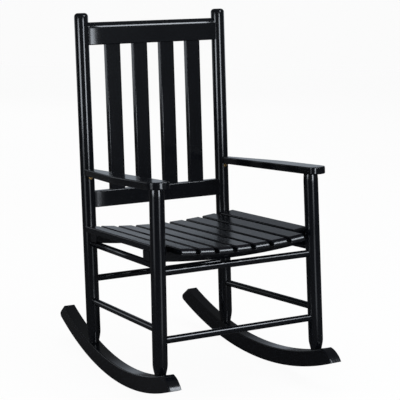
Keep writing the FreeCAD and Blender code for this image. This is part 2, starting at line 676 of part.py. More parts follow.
FRONT_BATTEN = "(front_batten_back - frame_depth / 2)"
BACK_BATTEN = "(frame_depth / 2 - back_batten_front)"
FRONT_RUNG_SCREW = FRONT_BATTEN + " + rung_screw_offset"
BACK_RUNG_SCREW = BACK_BATTEN + " - rung_screw_offset"
POST_PITCH = ("((%s_half_width - (%s_post_dia + seat_slat_width) / 2 - seat_%s_side_gap)"
              " * 2 / (seat_slat_count - 3))")
FRONT_PITCH, BACK_PITCH = (POST_PITCH % (end, end, end) for end in ("front", "back"))
FRONT_STEP = "(%s + (%s - %s) * front_batten_back / frame_depth)" % (FRONT_PITCH, BACK_PITCH, FRONT_PITCH)
BACK_STEP = "(%s + (%s - %s) * back_batten_front / frame_depth)" % (BACK_PITCH, FRONT_PITCH, BACK_PITCH)
SEAT_BACK_RADIUS = "(seat_radius * %s / %s)" % (BACK_STEP, FRONT_STEP)
SEAT_STEP = "(%s / seat_radius * 180 / pi)" % FRONT_STEP
RUNG_SPREAD = "(front_half_width - back_half_width) / frame_depth"
FRONT_RUNG_HALF = "(front_half_width - front_batten_back * %s)" % RUNG_SPREAD
BACK_RUNG_HALF = "(back_half_width + back_batten_front * %s)" % RUNG_SPREAD
SEAT_BED = ("(side_rung_dia / 2 - saddle_depth - seat_radius"
            " + sqrt((seat_radius + batten_depth) ^ 2 - %s ^ 2))" % FRONT_RUNG_HALF)
cone_slope = number("(%s - seat_radius) / (%s - %s)" % (SEAT_BACK_RADIUS, BACK_BATTEN, FRONT_BATTEN))


def seat_angle(index):
    """Angle of a seat slat about the axis of the dish."""
    return (index - (number("seat_slat_count") - 1) / 2) * number(SEAT_STEP)


def seat_rule(index):
    """Placement on the cone's rule under a seat slat: X across, Y to the back, Z up."""
    angle = math.radians(seat_angle(index))
    radius = number("seat_radius") - cone_slope * number(FRONT_BATTEN)
    origin = Vector(radius * math.sin(angle), 0, number(SEAT_BED) + radius * (1 - math.cos(angle)))
    along = Vector(cone_slope * math.sin(angle), 1, cone_slope * (1 - math.cos(angle))).normalize()
    across = Vector(math.cos(angle), 0, math.sin(angle))
    normal = across.cross(along).normalize()
    return Placement(origin + normal * number("seat_lift"), Rotation(across, along, normal, "YZX"))


def seat_slat(index):
    """Seat slat with a rounded front end; the outermost two stop short of the posts."""
    name = "seat_slat_%d" % (index + 1)
    body = new_body(name)
    side = new_sketch(body, name + "_side", "YZ_Plane")
    if index in (0, int(number("seat_slat_count")) - 1):
        front = "(front_post_dia / 2 + seat_corner_gap - frame_depth / 2)"
        back = "(frame_depth / 2 - back_post_dia / 2 - seat_corner_gap)"
    else:
        front = "(-frame_depth / 2 - seat_overhang)"
        back = "(frame_depth / 2 - seat_back_gap)"
    nose, under, thick = "seat_nose_round", "seat_nose_under", "seat_slat_thickness"
    outline(side, (
        ("%s + %s" % (front, under), "0"),
        (back, "0"),
        (back, thick),
        ("%s + %s" % (front, nose), thick, nose, 1),
        (front, "%s - %s" % (thick, nose)),
        (front, under, under, 1),
    ))
    pad(body, side, "seat_slat_width", "Symmetric")
    round_edges(body, name + "_edges", "seat_slat_round", lambda edge: is_parallel(edge, backward))
    local = seat_rule(index)
    for place_name, level in (("front", FRONT_BATTEN), ("back", BACK_BATTEN)):
        start = local * Vector(0, number(level), -APPROACH)
        drill(body, local, "%s_%s_pilot" % (name, place_name), start, local.Rotation * upright,
              "slat_screw_dia + " + FIT, "slat_screw_bite + 2 * joint_clearance + %s" % APPROACH)
    return place(body, local)


def rung_point(level):
    """Point of the right upper side rung's axis, at one place front to back."""
    share = number("(%s + frame_depth / 2) / frame_depth" % level)
    return front_axis("0") + (back_axis("0") - front_axis("0")) * share


def batten(label, level, radius, rung_half, screw_level):
    """Curved seat batten, saddled over both upper side rungs and drilled for its screws."""
    body = new_body(label)
    local = Placement(Vector(0, number(level), number("%s + %s" % (SEAT_BED, radius))), Rotation())
    section = new_sketch(body, label + "_section", "XZ_Plane")
    half = "(%s + batten_overhang)" % rung_half
    outer = "(%s + batten_depth)" % radius
    low = "-sqrt(%s ^ 2 - %s ^ 2)" % (outer, half)
    high = "-sqrt(%s ^ 2 - %s ^ 2)" % (radius, half)
    outline(section, (
        ("-" + half, low, outer, 1),
        (half, low),
        (half, high, radius, -1),
        ("-" + half, high),
    ))
    pad(body, section, "batten_width", "Symmetric")
    mirror_plane = next(item for item in body.Origin.OriginFeatures if item.Role == "YZ_Plane")
    here = rung_point(level)
    along = (back_axis("0") - front_axis("0")).normalize()
    saddle = drill(body, local, label + "_saddle", here - along * number("2 * batten_width"), along,
                   "side_rung_dia + " + FIT, "4 * batten_width")
    pilot = drill(body, local, label + "_rung_pilot", rung_point(screw_level), upright,
                  "rung_screw_dia + " + FIT, "side_rung_dia / 2 + rung_screw_bite + joint_clearance")
    settings = {"Originals": [saddle, pilot], "MirrorPlane": (mirror_plane, [""])}
    step(body, "Mirrored", label + "_both_ends", settings, {}, False)
    first = Rotation(backward, -seat_angle(0))
    down = first * Vector(0, 0, -1)
    seat = local.Base + down * number(outer)
    recess = drill(body, local, label + "_recess", seat + down * APPROACH, -down,
                   "slat_screw_head + " + FIT, "slat_screw_recess + %s" % APPROACH)
    hole = drill(body, local, label + "_hole", seat + down * APPROACH, -down,
                 "slat_screw_dia + " + FIT, "batten_depth + 2 * %s" % APPROACH)
    axis = next(item for item in body.Origin.OriginFeatures if item.Role == "Y_Axis")
    settings = {"Originals": [recess, hole], "Axis": (axis, [""]), "Reversed": True,
                "Occurrences": int(number("seat_slat_count"))}
    step(body, "PolarPattern", label + "_screw_row", settings,
         {"Angle": "(seat_slat_count - 1) * " + SEAT_STEP}, False)
    return place(body, local)


# Screws

def screw(name, dia, head, head_height, length, round_head=False):
    """Screw about Z: the head sits below the bearing face at zero, the shank points up."""
    body = new_body(name)
    profile = new_sketch(body, name + "_profile", "XZ_Plane")
    if round_head:
        radius = "((%s) ^ 2 / 4 + %s ^ 2) / (2 * %s)" % (head, head_height, head_height)
        start = [("0", "-" + head_height, radius, 1), (head + " / 2", "0")]
    else:
        start = [("0", "-" + head_height), (head + " / 2", "-" + head_height), (head + " / 2", "0")]
    outline(profile, start + [
        (dia + " / 2", "0"),
        (dia + " / 2", "%s - %s" % (length, dia)),
        ("0", length),
    ])
    revolve(body, profile)
    return body


def screw_group(label, master, places, density):
    """One node for a set of equal screws, each a solid of its own."""
    group = doc.addObject("Part::Feature", label)
    group.Label = label
    solids = []
    for local in places:
        solid = master.Shape.copy()
        solid.Placement = local * solid.Placement
        solids.append(solid)
    group.Shape = Part.makeCompound(solids)
    pieces.append((group, density))
    return group


def slat_screw_places():
    """Bearing faces of the screws through both battens."""
    places = []
    for level, radius in ((FRONT_BATTEN, "seat_radius"), (BACK_BATTEN, SEAT_BACK_RADIUS)):
        centre = Vector(0, number(level), number("%s + %s" % (SEAT_BED, radius)))
        reach = number("%s + batten_depth - slat_screw_recess" % radius)
        for index in range(int(number("seat_slat_count"))):
            turn = Rotation(backward, -seat_angle(index))
            places.append(Placement(centre + turn * Vector(0, 0, -reach), turn))
    return places


def rung_screw_places():
    """Bearing faces of the screws through the upper side rungs."""
    places = []
    for level in (FRONT_RUNG_SCREW, BACK_RUNG_SCREW):
        point = rung_point(level) - upright * number("side_rung_dia / 2 - rung_screw_recess")
        places += [Placement(point, Rotation()), Placement(opposite(point), Rotation())]
    return places


def arm_screw_places():
    """Bearing faces of the brass screws, on the front of both back posts."""
    point = back_axis(ARM_SCREW_LEVEL) - backward * number("back_post_dia / 2")
    turn = facing(backward, upright)
    return [Placement(point, turn), Placement(opposite(point), turn)]


# Assembly

mirrored(front_post(), "post_front_left")
mirrored(back_post(), "post_back_left")
for name, level in SIDE_LEVELS:
    body, local = side_rung(name, level)
    if name == "upper":
        for end, screw_level in (("front", FRONT_RUNG_SCREW), ("back", BACK_RUNG_SCREW)):
            below = rung_point(screw_level) - upright * (number("side_rung_dia / 2") + APPROACH)
            drill(body, local, "%s_screw_recess" % end, below, upright, "rung_screw_head + " + FIT,
                  "rung_screw_recess + %s" % APPROACH)
            drill(body, local, "%s_screw_hole" % end, below, upright, "rung_screw_dia + " + FIT,
                  "side_rung_dia + 2 * %s" % APPROACH)
    mirrored(place(body, local), "side_rung_%s_left" % name)
for name, level in FRONT_LEVELS:
    cross_rung("front_rung_" + name, front_axis(level), "front_half_width - front_splay * (%s)" % level,
               "front_rung_dia", "front_post_dia")
cross_rung("back_rung", back_axis("back_rung_level"), "back_half_width", "back_rung_dia", "back_post_dia")
mirrored(rocker(), "rocker_left")
mirrored(arm(), "arm_left")

crest = back_rail("crest_rail", CREST_TOP, "crest_height", "crest_front_round", "crest_back_round")
house_slats(crest, CREST_TOP + " - crest_height", True)
place(crest, Placement())
lower = back_rail("lower_back_rail", "lower_rail_top", "lower_rail_height", "rail_edge_round",
                  "rail_edge_round")
house_slats(lower, "lower_rail_top", False)
place(lower, Placement())
for index in range(int(number("back_slat_count"))):
    back_slat(index)

for index in range(int(number("seat_slat_count"))):
    seat_slat(index)
batten("seat_batten_front", FRONT_BATTEN, "seat_radius", FRONT_RUNG_HALF, FRONT_RUNG_SCREW)
batten("seat_batten_back", BACK_BATTEN, SEAT_BACK_RADIUS, BACK_RUNG_HALF, BACK_RUNG_SCREW)

slat_screw = screw("slat_screw", "slat_screw_dia", "slat_screw_head", "screw_head_height",
                   "(batten_depth - slat_screw_recess + slat_screw_bite)")
screw_group("seat_slat_screws", slat_screw, slat_screw_places(), STEEL)
rung_screw = screw("rung_screw", "rung_screw_dia", "rung_screw_head", "screw_head_height",
                   "(side_rung_dia - rung_screw_recess + rung_screw_bite)")
screw_group("seat_rung_screws", rung_screw, rung_screw_places(), STEEL)
arm_screw = screw("arm_screw", "arm_screw_dia", "arm_screw_head", "arm_screw_head_height",
                  "arm_screw_length", True)
screw_group("arm_support_screws", arm_screw, arm_screw_places(), BRASS)
doc.recompute()

# Balance: at rest the centre of the running edge is plumb above the centre of mass

mass = 0.0
moment = Vector()
for piece, density in pieces:
    mass += density * piece.Shape.Volume
    for solid in piece.Shape.Solids:
        moment += solid.CenterOfMass * (density * solid.Volume)
balance = moment * (1 / mass)
roll_centre = rocker_place * Vector(0, number(ROLL_BACK), number(ROLL_RISE))
lean = math.degrees(math.atan2(balance.y - roll_centre.y, roll_centre.z - balance.z))
chair = Placement(Vector(), Rotation(Vector(1, 0, 0), -lean))
for piece, density in pieces:
    if piece.TypeId != "Part::Mirroring":
        piece.Placement = chair * piece.Placement
doc.recompute()

box = FreeCAD.BoundBox()
for piece, density in pieces:
    box.add(piece.Shape.optimalBoundingBox(False, False))
set_down = Placement(Vector(0, -box.Center.y, -box.ZMin), Rotation())
for piece, density in pieces:
    if piece.TypeId != "Part::Mirroring":
        piece.Placement = set_down * piece.Placement
doc.recompute()

faults = [item.Label for item in doc.Objects if {"Invalid", "Error"} & set(item.State)]
for piece, density in pieces:
    if piece.Shape.isNull() or not piece.Shape.isValid() or not piece.Shape.Solids:
        faults.append(piece.Label)
if faults:
    raise RuntimeError("failed: " + ", ".join(faults))

os.makedirs("parts", exist_ok=True)
for piece, density in pieces:
    piece.Shape.exportStep("parts/%s.step" % piece.Label)
print("pieces %d, mass %.2f kg, lean %.3f degrees" % (len(pieces), mass / 1000, lean))
print("size %.1f x %.1f x %.1f mm" % (box.XLength, box.YLength, box.ZLength))
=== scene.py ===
import json
import logging
import math
from dataclasses import dataclass, field
from enum import Enum
from typing import Any, Sequence

import bmesh
import bpy
from mathutils import Matrix, Vector


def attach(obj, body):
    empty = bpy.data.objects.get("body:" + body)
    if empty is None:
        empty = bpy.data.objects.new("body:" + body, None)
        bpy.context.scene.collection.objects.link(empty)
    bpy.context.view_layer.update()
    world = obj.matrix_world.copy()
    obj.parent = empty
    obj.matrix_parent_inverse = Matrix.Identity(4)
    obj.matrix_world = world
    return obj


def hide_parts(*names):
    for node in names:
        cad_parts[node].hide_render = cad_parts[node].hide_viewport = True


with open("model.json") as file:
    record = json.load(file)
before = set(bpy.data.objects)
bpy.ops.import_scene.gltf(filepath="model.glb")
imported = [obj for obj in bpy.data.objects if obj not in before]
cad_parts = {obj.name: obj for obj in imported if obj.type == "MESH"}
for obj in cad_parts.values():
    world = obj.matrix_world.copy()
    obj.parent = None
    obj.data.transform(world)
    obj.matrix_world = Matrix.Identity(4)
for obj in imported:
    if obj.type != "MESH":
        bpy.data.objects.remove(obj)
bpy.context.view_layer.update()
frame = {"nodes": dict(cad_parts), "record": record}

# Black slat-back child's rocking chair. Sizes are millimetres in the chair's own frame: X to the
# side, Y to the back, Z up along the back posts, from a point midway between the four posts at the
# level of the upper side rungs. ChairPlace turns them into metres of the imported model.

MM = 0.001
# Beside each rounded corner lies a strip this wide, so that the flat next to it shades flat. It
# takes no more than this share of a short flat, so that the strips of two corners never cross.
FLAT_GUARD = 0.6
GUARD_SHARE = 0.3
# A sharp corner of a board is inset along its bisector by at most 1 / this times the inset.
MITRE_LIMIT = 0.5
# Points closer than this are one: in a workpiece's millimetres, and in the metres of a CAD mesh.
WELD = 0.0005
CAD_WELD = 0.000005
log = logging.getLogger("rocking_chair")

Triple = tuple[float, float, float]
Colour = Triple
Outline = list[tuple[float, float]]
WHITE: Colour = (1.0, 1.0, 1.0)


class Grain(Enum):
    """Axis of a piece along which its wood runs."""

    X = (1, 2, 0)
    Y = (2, 0, 1)
    Z = (0, 1, 2)


class Side(Enum):
    """Side of the chair, as seen in the photograph."""

    LEFT = -1
    RIGHT = 1

    @property
    def word(self) -> str:
        """The side as the names of pieces and nodes spell it."""
        return self.name.lower()

    def number(self, middle: float, spread: float) -> float:
        """A piece's own number, which differs from side to side."""
        return middle + spread * self.value


class Crease(Enum):
    """Angle in degrees past which an edge stays sharp, by the kind of piece."""

    BATTEN = 25.0
    DRILLED_RUNG = 30.0
    SCREW = 35.0
    BOARD = 38.0
    TURNED = 50.0


class Seed(Enum):
    """Fixed seed of the numbers that shift the grain from copy to copy."""

    RUNGS = 11
    BACK_SLATS = 23
    SEAT_SLATS = 37


class Wire:
    """Node socket that Python's operators join to others through Math nodes."""

    def __init__(self, bench: "NodeBench", socket: bpy.types.NodeSocket) -> None:
        """Keep the socket and the bench that its tree is built on."""
        self.bench = bench
        self.socket = socket

    def math(self, operation: str, *others: "Wire | float") -> "Wire":
        """Result of a Math node.

        Args:
            operation: the Math node's operation.
            others: further operands, wires or plain numbers.

        Returns:
            The wire of the result.
        """
        operands = dict(enumerate((self, *others)))
        return self.bench.add("ShaderNodeMath", {"operation": operation}, operands)

    def swapped(self, operation: str, first: float) -> "Wire":
        """Result of a Math node whose first operand is a plain number.

        Args:
            operation: the Math node's operation.
            first: the number that comes first.

        Returns:
            The wire of the result.
        """
        return self.bench.add("ShaderNodeMath", {"operation": operation}, {0: first, 1: self})

    def __add__(self, other: "Wire | float") -> "Wire":
        """Sum of two values."""
        return self.math("ADD", other)

    def __radd__(self, other: float) -> "Wire":
        """Sum with a number on the left."""
        return self.swapped("ADD", other)

    def __sub__(self, other: "Wire | float") -> "Wire":
        """Difference of two values."""
        return self.math("SUBTRACT", other)

    def __rsub__(self, other: float) -> "Wire":
        """Difference from a number on the left."""
        return self.swapped("SUBTRACT", other)

    def __mul__(self, other: "Wire | float") -> "Wire":
        """Product of two values."""
        return self.math("MULTIPLY", other)

    def __rmul__(self, other: float) -> "Wire":
        """Product with a number on the left."""
        return self.swapped("MULTIPLY", other)

    def __truediv__(self, other: "Wire | float") -> "Wire":
        """Quotient of two values."""
        return self.math("DIVIDE", other)

    def __rtruediv__(self, other: float) -> "Wire":
        """Quotient of a number on the left."""
        return self.swapped("DIVIDE", other)

    def out(self, name: str) -> "Wire":
        """Another output of the same node."""
        return Wire(self.bench, self.socket.node.outputs[name])


class NodeBench:
    """Bench on which one node tree is put together."""

    def __init__(self, tree: bpy.types.NodeTree) -> None:
        """Start on an emptied tree."""
        self.tree = tree
        tree.nodes.clear()

    def add(self, kind: str, settings: dict[str, Any] | None = None,
            sockets: dict[str | int, Any] | None = None, out: str | int = 0) -> Wire:
        """Add one node, with its settings first and then its sockets.

        Args:
            kind: the node's type.
            settings: the node's own properties; a list of stops sets a colour ramp.
            sockets: values, or wires to link, by input name or number.
            out: name or number of the output to return.

        Returns:
            The wire of that output, or of the first input where the node has no output.
        """
        node = self.tree.nodes.new(kind)
        for key, value in (settings or {}).items():
            if key == "stops":
                self.set_stops(node.color_ramp, value)
            else:
                setattr(node, key, value)
        for key, value in (sockets or {}).items():
            if isinstance(value, Wire):
                self.tree.links.new(value.socket, node.inputs[key])
            else:
                node.inputs[key].default_value = value
        return Wire(self, node.outputs[out] if len(node.outputs) else node.inputs[0])

    @staticmethod
    def set_stops(ramp: bpy.types.ColorRamp, stops: Sequence[tuple[float, float]]) -> None:
        """Set a ramp's stops.

        Args:
            ramp: the ramp to set.
            stops: place and grey value of each stop.
        """
        while len(ramp.elements) < len(stops):
            ramp.elements.new(1.0)
        for element, (at, grey) in zip(ramp.elements, stops):
            element.position = at
            element.color = (grey, grey, grey, 1.0)

    def noise(self, place: Wire, detail: float, scale: float = 1.0, **others: float) -> Wire:
        """Grey value of a noise at each place."""
        values = {"Vector": place, "Scale": scale, "Detail": detail, **others}
        return self.add("ShaderNodeTexNoise", {}, values, "Fac")

    def scaled(self, vector: Wire, by: Triple) -> Wire:
        """Vector multiplied axis by axis."""
        return self.add("ShaderNodeVectorMath", {"operation": "MULTIPLY"}, {0: vector, 1: by})

    def vector_math(self, operation: str, first: Wire, second: Wire) -> Wire:
        """Vector result of two vectors."""
        return self.add("ShaderNodeVectorMath", {"operation": operation}, {0: first, 1: second})

    def blend(self, share: Wire, first: Colour, second: Colour | Wire) -> Wire:
        """Colour between two colours, by a share from 0 to 1.

        Args:
            share: how much of the second colour.
            first: colour at 0.
            second: colour at 1.

        Returns:
            The wire of the mixed colour.
        """
        last = second if isinstance(second, Wire) else (*second, 1)
        mix = self.add("ShaderNodeMix", {"data_type": "RGBA"}, {0: share, 6: (*first, 1), 7: last})
        return Wire(self, mix.socket.node.outputs[2])


class Finish:
    """Material of one kind, made once, which carries the name of a record's slot."""

    name: str
    slot: str

    def shade(self, bench: NodeBench) -> Wire:
        """Put the finish's nodes on the bench and return its shader."""
        raise NotImplementedError

    def material(self) -> bpy.types.Material:
        """Make the material, or fetch it if it has been made.

        Returns:
            The material.
        """
        found = bpy.data.materials.get(self.name)
        if found:
            return found
        made = bpy.data.materials.new(self.name)
        made.use_nodes = True
        bench = NodeBench(made.node_tree)
        bench.add("ShaderNodeOutputMaterial", {}, {"Surface": self.shade(bench)})
        return made


@dataclass(frozen=True)
class SatinPaint(Finish):
    """Black satin paint on wood, through which the grain still shows a little."""

    name: str = "black_satin_paint"
    slot: str = "black_paint"
    full: Colour = (0.0016, 0.0021, 0.0034)
    thin: Colour = (0.0034, 0.0041, 0.0056)
    gloss: float = 0.15
    gloss_spread: float = 0.05
    ior: float = 1.6
    relief: float = 0.12
    pore_depth: float = 0.00001
    pore_stops: Sequence[tuple[float, float]] = ((0.30, 0.0), (0.62, 1.0))
    pore_scale: Triple = (520.0, 520.0, 18.0)
    ring_scale: Triple = (90.0, 90.0, 3.0)
    lap_scale: Triple = (900.0, 900.0, 9.0)
    cloud_scale: float = 16.0
    wear_shares: Triple = (0.35, 0.3, 0.35)
    lap_share: float = 0.3
    piece_shift: Triple = (3.1, 7.7, 5.3)

    def shade(self, bench: NodeBench) -> Wire:
        """Pores along the grain, brush laps across it and cloudy gloss.

        Args:
            bench: the bench of the material's tree.

        Returns:
            The shader.
        """
        grain = bench.add("ShaderNodeAttribute", {"attribute_name": "grain"}, {}, "Vector")
        piece = bench.add("ShaderNodeAttribute", {"attribute_name": "piece"}, {}, "Fac")
        shift = bench.add("ShaderNodeCombineXYZ", {}, {
            axis: piece * step for axis, step in zip("XYZ", self.piece_shift)})
        place = bench.vector_math("ADD", grain, shift)
        pores = bench.noise(bench.scaled(place, self.pore_scale), detail=4.0, Roughness=0.6)
        rings = bench.noise(bench.scaled(place, self.ring_scale), detail=2.0, Distortion=0.4)
        clouds = bench.noise(place, detail=3.0, scale=self.cloud_scale)
        laps = bench.noise(bench.scaled(place, self.lap_scale), detail=1.0)
        open_pores = bench.add("ShaderNodeValToRGB", {"stops": self.pore_stops}, {"Fac": pores})
        by_pores, by_rings, by_clouds = self.wear_shares
        wear = open_pores * by_pores + rings * by_rings + clouds * by_clouds
        height = open_pores * (1 - self.lap_share) + laps * self.lap_share
        bump = bench.add("ShaderNodeBump", {}, {
            "Strength": self.relief, "Distance": self.pore_depth, "Height": height})
        half_spread = self.gloss_spread / 2
        rough = clouds * self.gloss_spread + rings * half_spread + (self.gloss - half_spread)
        return bench.add("ShaderNodeBsdfPrincipled", {}, {
            "Base Color": bench.blend(wear, self.full, self.thin),
            "Roughness": rough,
            "IOR": self.ior,
            "Normal": bump})


@dataclass(frozen=True)
class ScrewMetal(Finish):
    """Turned metal of a screw, tarnished in blotches."""

    name: str
    slot: str
    bright: Colour
    dull: Colour
    gloss: float
    gloss_spread: float = 0.2
    relief: float = 0.2
    line_depth: float = 0.00004
    line_share: float = 0.6
    line_scale: Triple = (300.0, 300.0, 6000.0)
    blotch_scale: float = 420.0

    def shade(self, bench: NodeBench) -> Wire:
        """Fine turning lines and blotches of tarnish.

        Args:
            bench: the bench of the material's tree.

        Returns:
            The shader.
        """
        place = bench.add("ShaderNodeTexCoord", {}, {}, "Object")
        blotch = bench.noise(place, detail=3.0, scale=self.blotch_scale)
        lines = bench.noise(bench.scaled(place, self.line_scale), detail=1.0)
        height = lines * self.line_share + blotch * (1 - self.line_share)
        bump = bench.add("ShaderNodeBump", {}, {
            "Strength": self.relief, "Distance": self.line_depth, "Height": height})
        return bench.add("ShaderNodeBsdfPrincipled", {}, {
            "Base Color": bench.blend(blotch, self.bright, self.dull),
            "Metallic": 1.0,
            "Roughness": blotch * self.gloss_spread + self.gloss,
            "Normal": bump})


@dataclass(frozen=True)
class StudioWhite(Finish):
    """White sweep: plain white in the picture, with the object's shadow left on it."""

    name: str = "studio_white"
    paper: Colour = (0.9, 0.9, 0.9)
    fibre_scale: float = 60.0
    fibre_shade: float = 0.97
    picture_share: float = 0.95
    mirrored: Colour = (0.41, 0.455, 0.51)
    mirrored_high: Colour = (0.20, 0.22, 0.25)
    fade: tuple[float, float] = (0.50, 1.00)

    def shade(self, bench: NodeBench) -> Wire:
        """Pale paper that glows a little to the camera and in reflections.

        Args:
            bench: the bench of the material's tree.

        Returns:
            The shader.
        """
        rays = bench.add("ShaderNodeLightPath", {}, {}, "Is Camera Ray")
        place = bench.add("ShaderNodeTexCoord", {}, {}, "Object")
        fibres = bench.noise(place, detail=2.0, scale=self.fibre_scale)
        shaded = tuple(value * self.fibre_shade for value in self.paper)
        paper = bench.add("ShaderNodeBsdfPrincipled", {}, {
            "Base Color": bench.blend(fibres, self.paper, shaded),
            "Roughness": 1.0, "Specular IOR Level": 0.0})
        glossy = rays.out("Is Glossy Ray")
        level = bench.add("ShaderNodeSeparateXYZ", {}, {0: place}, "Z")
        high = bench.add("ShaderNodeMapRange", {}, {
            "Value": level, "From Min": self.fade[0], "From Max": self.fade[1]})
        mirrored = bench.blend(high, self.mirrored, self.mirrored_high)
        glow = bench.add("ShaderNodeBsdfPrincipled", {}, {
            "Base Color": (0.0, 0.0, 0.0, 1.0), "Roughness": 1.0, "Specular IOR Level": 0.0,
            "Emission Color": bench.blend(glossy, WHITE, mirrored), "Emission Strength": 1.0})
        share = (rays + glossy + rays.out("Is Transmission Ray")) * self.picture_share
        return bench.add("ShaderNodeMixShader", {}, {0: share, 1: paper, 2: glow})


PAINT = SatinPaint()
SEAT_PAINT = SatinPaint(name="black_seat_paint", gloss=0.21)
ARM_PAINT = SatinPaint(name="black_arm_paint", gloss=0.14)
TURNED_PAINT = SatinPaint(name="black_turned_paint", gloss=0.13, pore_depth=0.000002)
BRASS = ScrewMetal("aged_brass", "brass", (0.62, 0.42, 0.17), (0.30, 0.19, 0.08), 0.28)
ZINC = ScrewMetal("zinc_plate", "zinc_steel", (0.62, 0.63, 0.64), (0.42, 0.43, 0.44), 0.3)


@dataclass(frozen=True)
class ChairPlace:
    """Where the chair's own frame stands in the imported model."""

    lean: float
    back: float
    up: float

    @classmethod
    def from_record(cls, record: dict[str, Any], along: float, level: float) -> "ChairPlace":
        """Read the lean and the place from the seat's mount.

        Args:
            record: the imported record.
            along: the mount's place front to back in the chair's own frame.
            level: the mount's level there.

        Returns:
            The chair's place.
        """
        mount = next(item for item in record["mounts"] if item["name"] == "seat_rest")
        lean = math.atan2(mount["axis"][1], mount["axis"][2])
        spot = Matrix.Rotation(-lean, 3, "X") @ Vector((0, along, level))
        return cls(lean, mount["pos_m"][1] / MM - spot.y, mount["pos_m"][2] / MM - spot.z)

    @property
    def matrix(self) -> Matrix:
        """From millimetres of the chair's frame to metres of the model."""
        turned = Matrix.Translation((0, self.back, self.up)) @ Matrix.Rotation(-self.lean, 4, "X")
        return Matrix.Scale(MM, 4) @ turned


def leg(radius: float, other: float) -> float:
    """Second leg of a right triangle whose longest side is the radius, or 0 where there is none."""
    return math.sqrt(max(radius ** 2 - other ** 2, 0.0))


def linked(name: str, data: bpy.types.ID) -> bpy.types.Object:
    """New object of some data, in the scene.

    Args:
        name: name of the object.
        data: its mesh, lamp or camera.

    Returns:
        The object.
    """
    made = bpy.data.objects.new(name, data)
    bpy.context.scene.collection.objects.link(made)
    return made


def arc_points(start: tuple[float, float], stop: tuple[float, float], radius: float, turn: int,
               steps: int) -> Outline:
    """Points of an arc, with its start and without its stop.

    Args:
        start: first point.
        stop: point where the arc ends.
        radius: the arc's radius.
        turn: 1 turns left on the way, -1 right.
        steps: how many points.

    Returns:
        The points.
    """
    first, last = Vector(start), Vector(stop)
    chord = last - first
    aside = Vector((-chord.y, chord.x)).normalized() * (turn * leg(radius, chord.length / 2))
    centre = (first + last) / 2 + aside
    begin = math.atan2(first.y - centre.y, first.x - centre.x)
    sweep = math.atan2(last.y - centre.y, last.x - centre.x) - begin
    if turn > 0 and sweep < 0:
        sweep += math.tau
    if turn < 0 and sweep > 0:
        sweep -= math.tau
    angles = (begin + sweep * step / steps for step in range(steps))
    return [(centre.x + radius * math.cos(angle), centre.y + radius * math.sin(angle))
            for angle in angles]


def circle(radius: float, level: float, segments: int) -> list[Vector]:
    """Ring of points about Z, at one level."""
    angles = (math.tau * step / segments for step in range(segments))
    return [Vector((radius * math.cos(angle), radius * math.sin(angle), level)) for angle in angles]


def rounded(corners: Sequence[Triple], steps: int = 8) -> Outline:
    """Closed outline with rounded corners.

    Args:
        corners: x, y and radius of each corner, in order.
        steps: points on each rounded corner.

    Returns:
        The outline's points.
    """
    spots = [Vector(corner[:2]) for corner in corners]
    following = spots[1:] + spots[:1]
    ways = [(after - here).normalized() for here, after in zip(spots, following)]
    reaches = [radius / math.tan(on.angle(-ways[index - 1]) / 2) if radius > 0 else 0.0
               for index, (on, (_, _, radius)) in enumerate(zip(ways, corners))]
    guards = []
    for index, (here, after) in enumerate(zip(spots, following)):
        flat = (after - here).length - reaches[index] - reaches[(index + 1) % len(spots)]
        guards.append(min(FLAT_GUARD, GUARD_SHARE * flat))
    points: Outline = []
    for index, (here, on, reach, (_, _, radius)) in enumerate(zip(spots, ways, reaches, corners)):
        if radius <= 0:
            points.append(tuple(here))
            continue
        back = -ways[index - 1]
        turn = 1 if back.cross(on) < 0 else -1
        start, stop = here + back * reach, here + on * reach
        points += [tuple(start + back * guards[index - 1]),
                   *arc_points(tuple(start), tuple(stop), radius, turn, steps),
                   tuple(stop), tuple(stop + on * guards[index])]
    return points


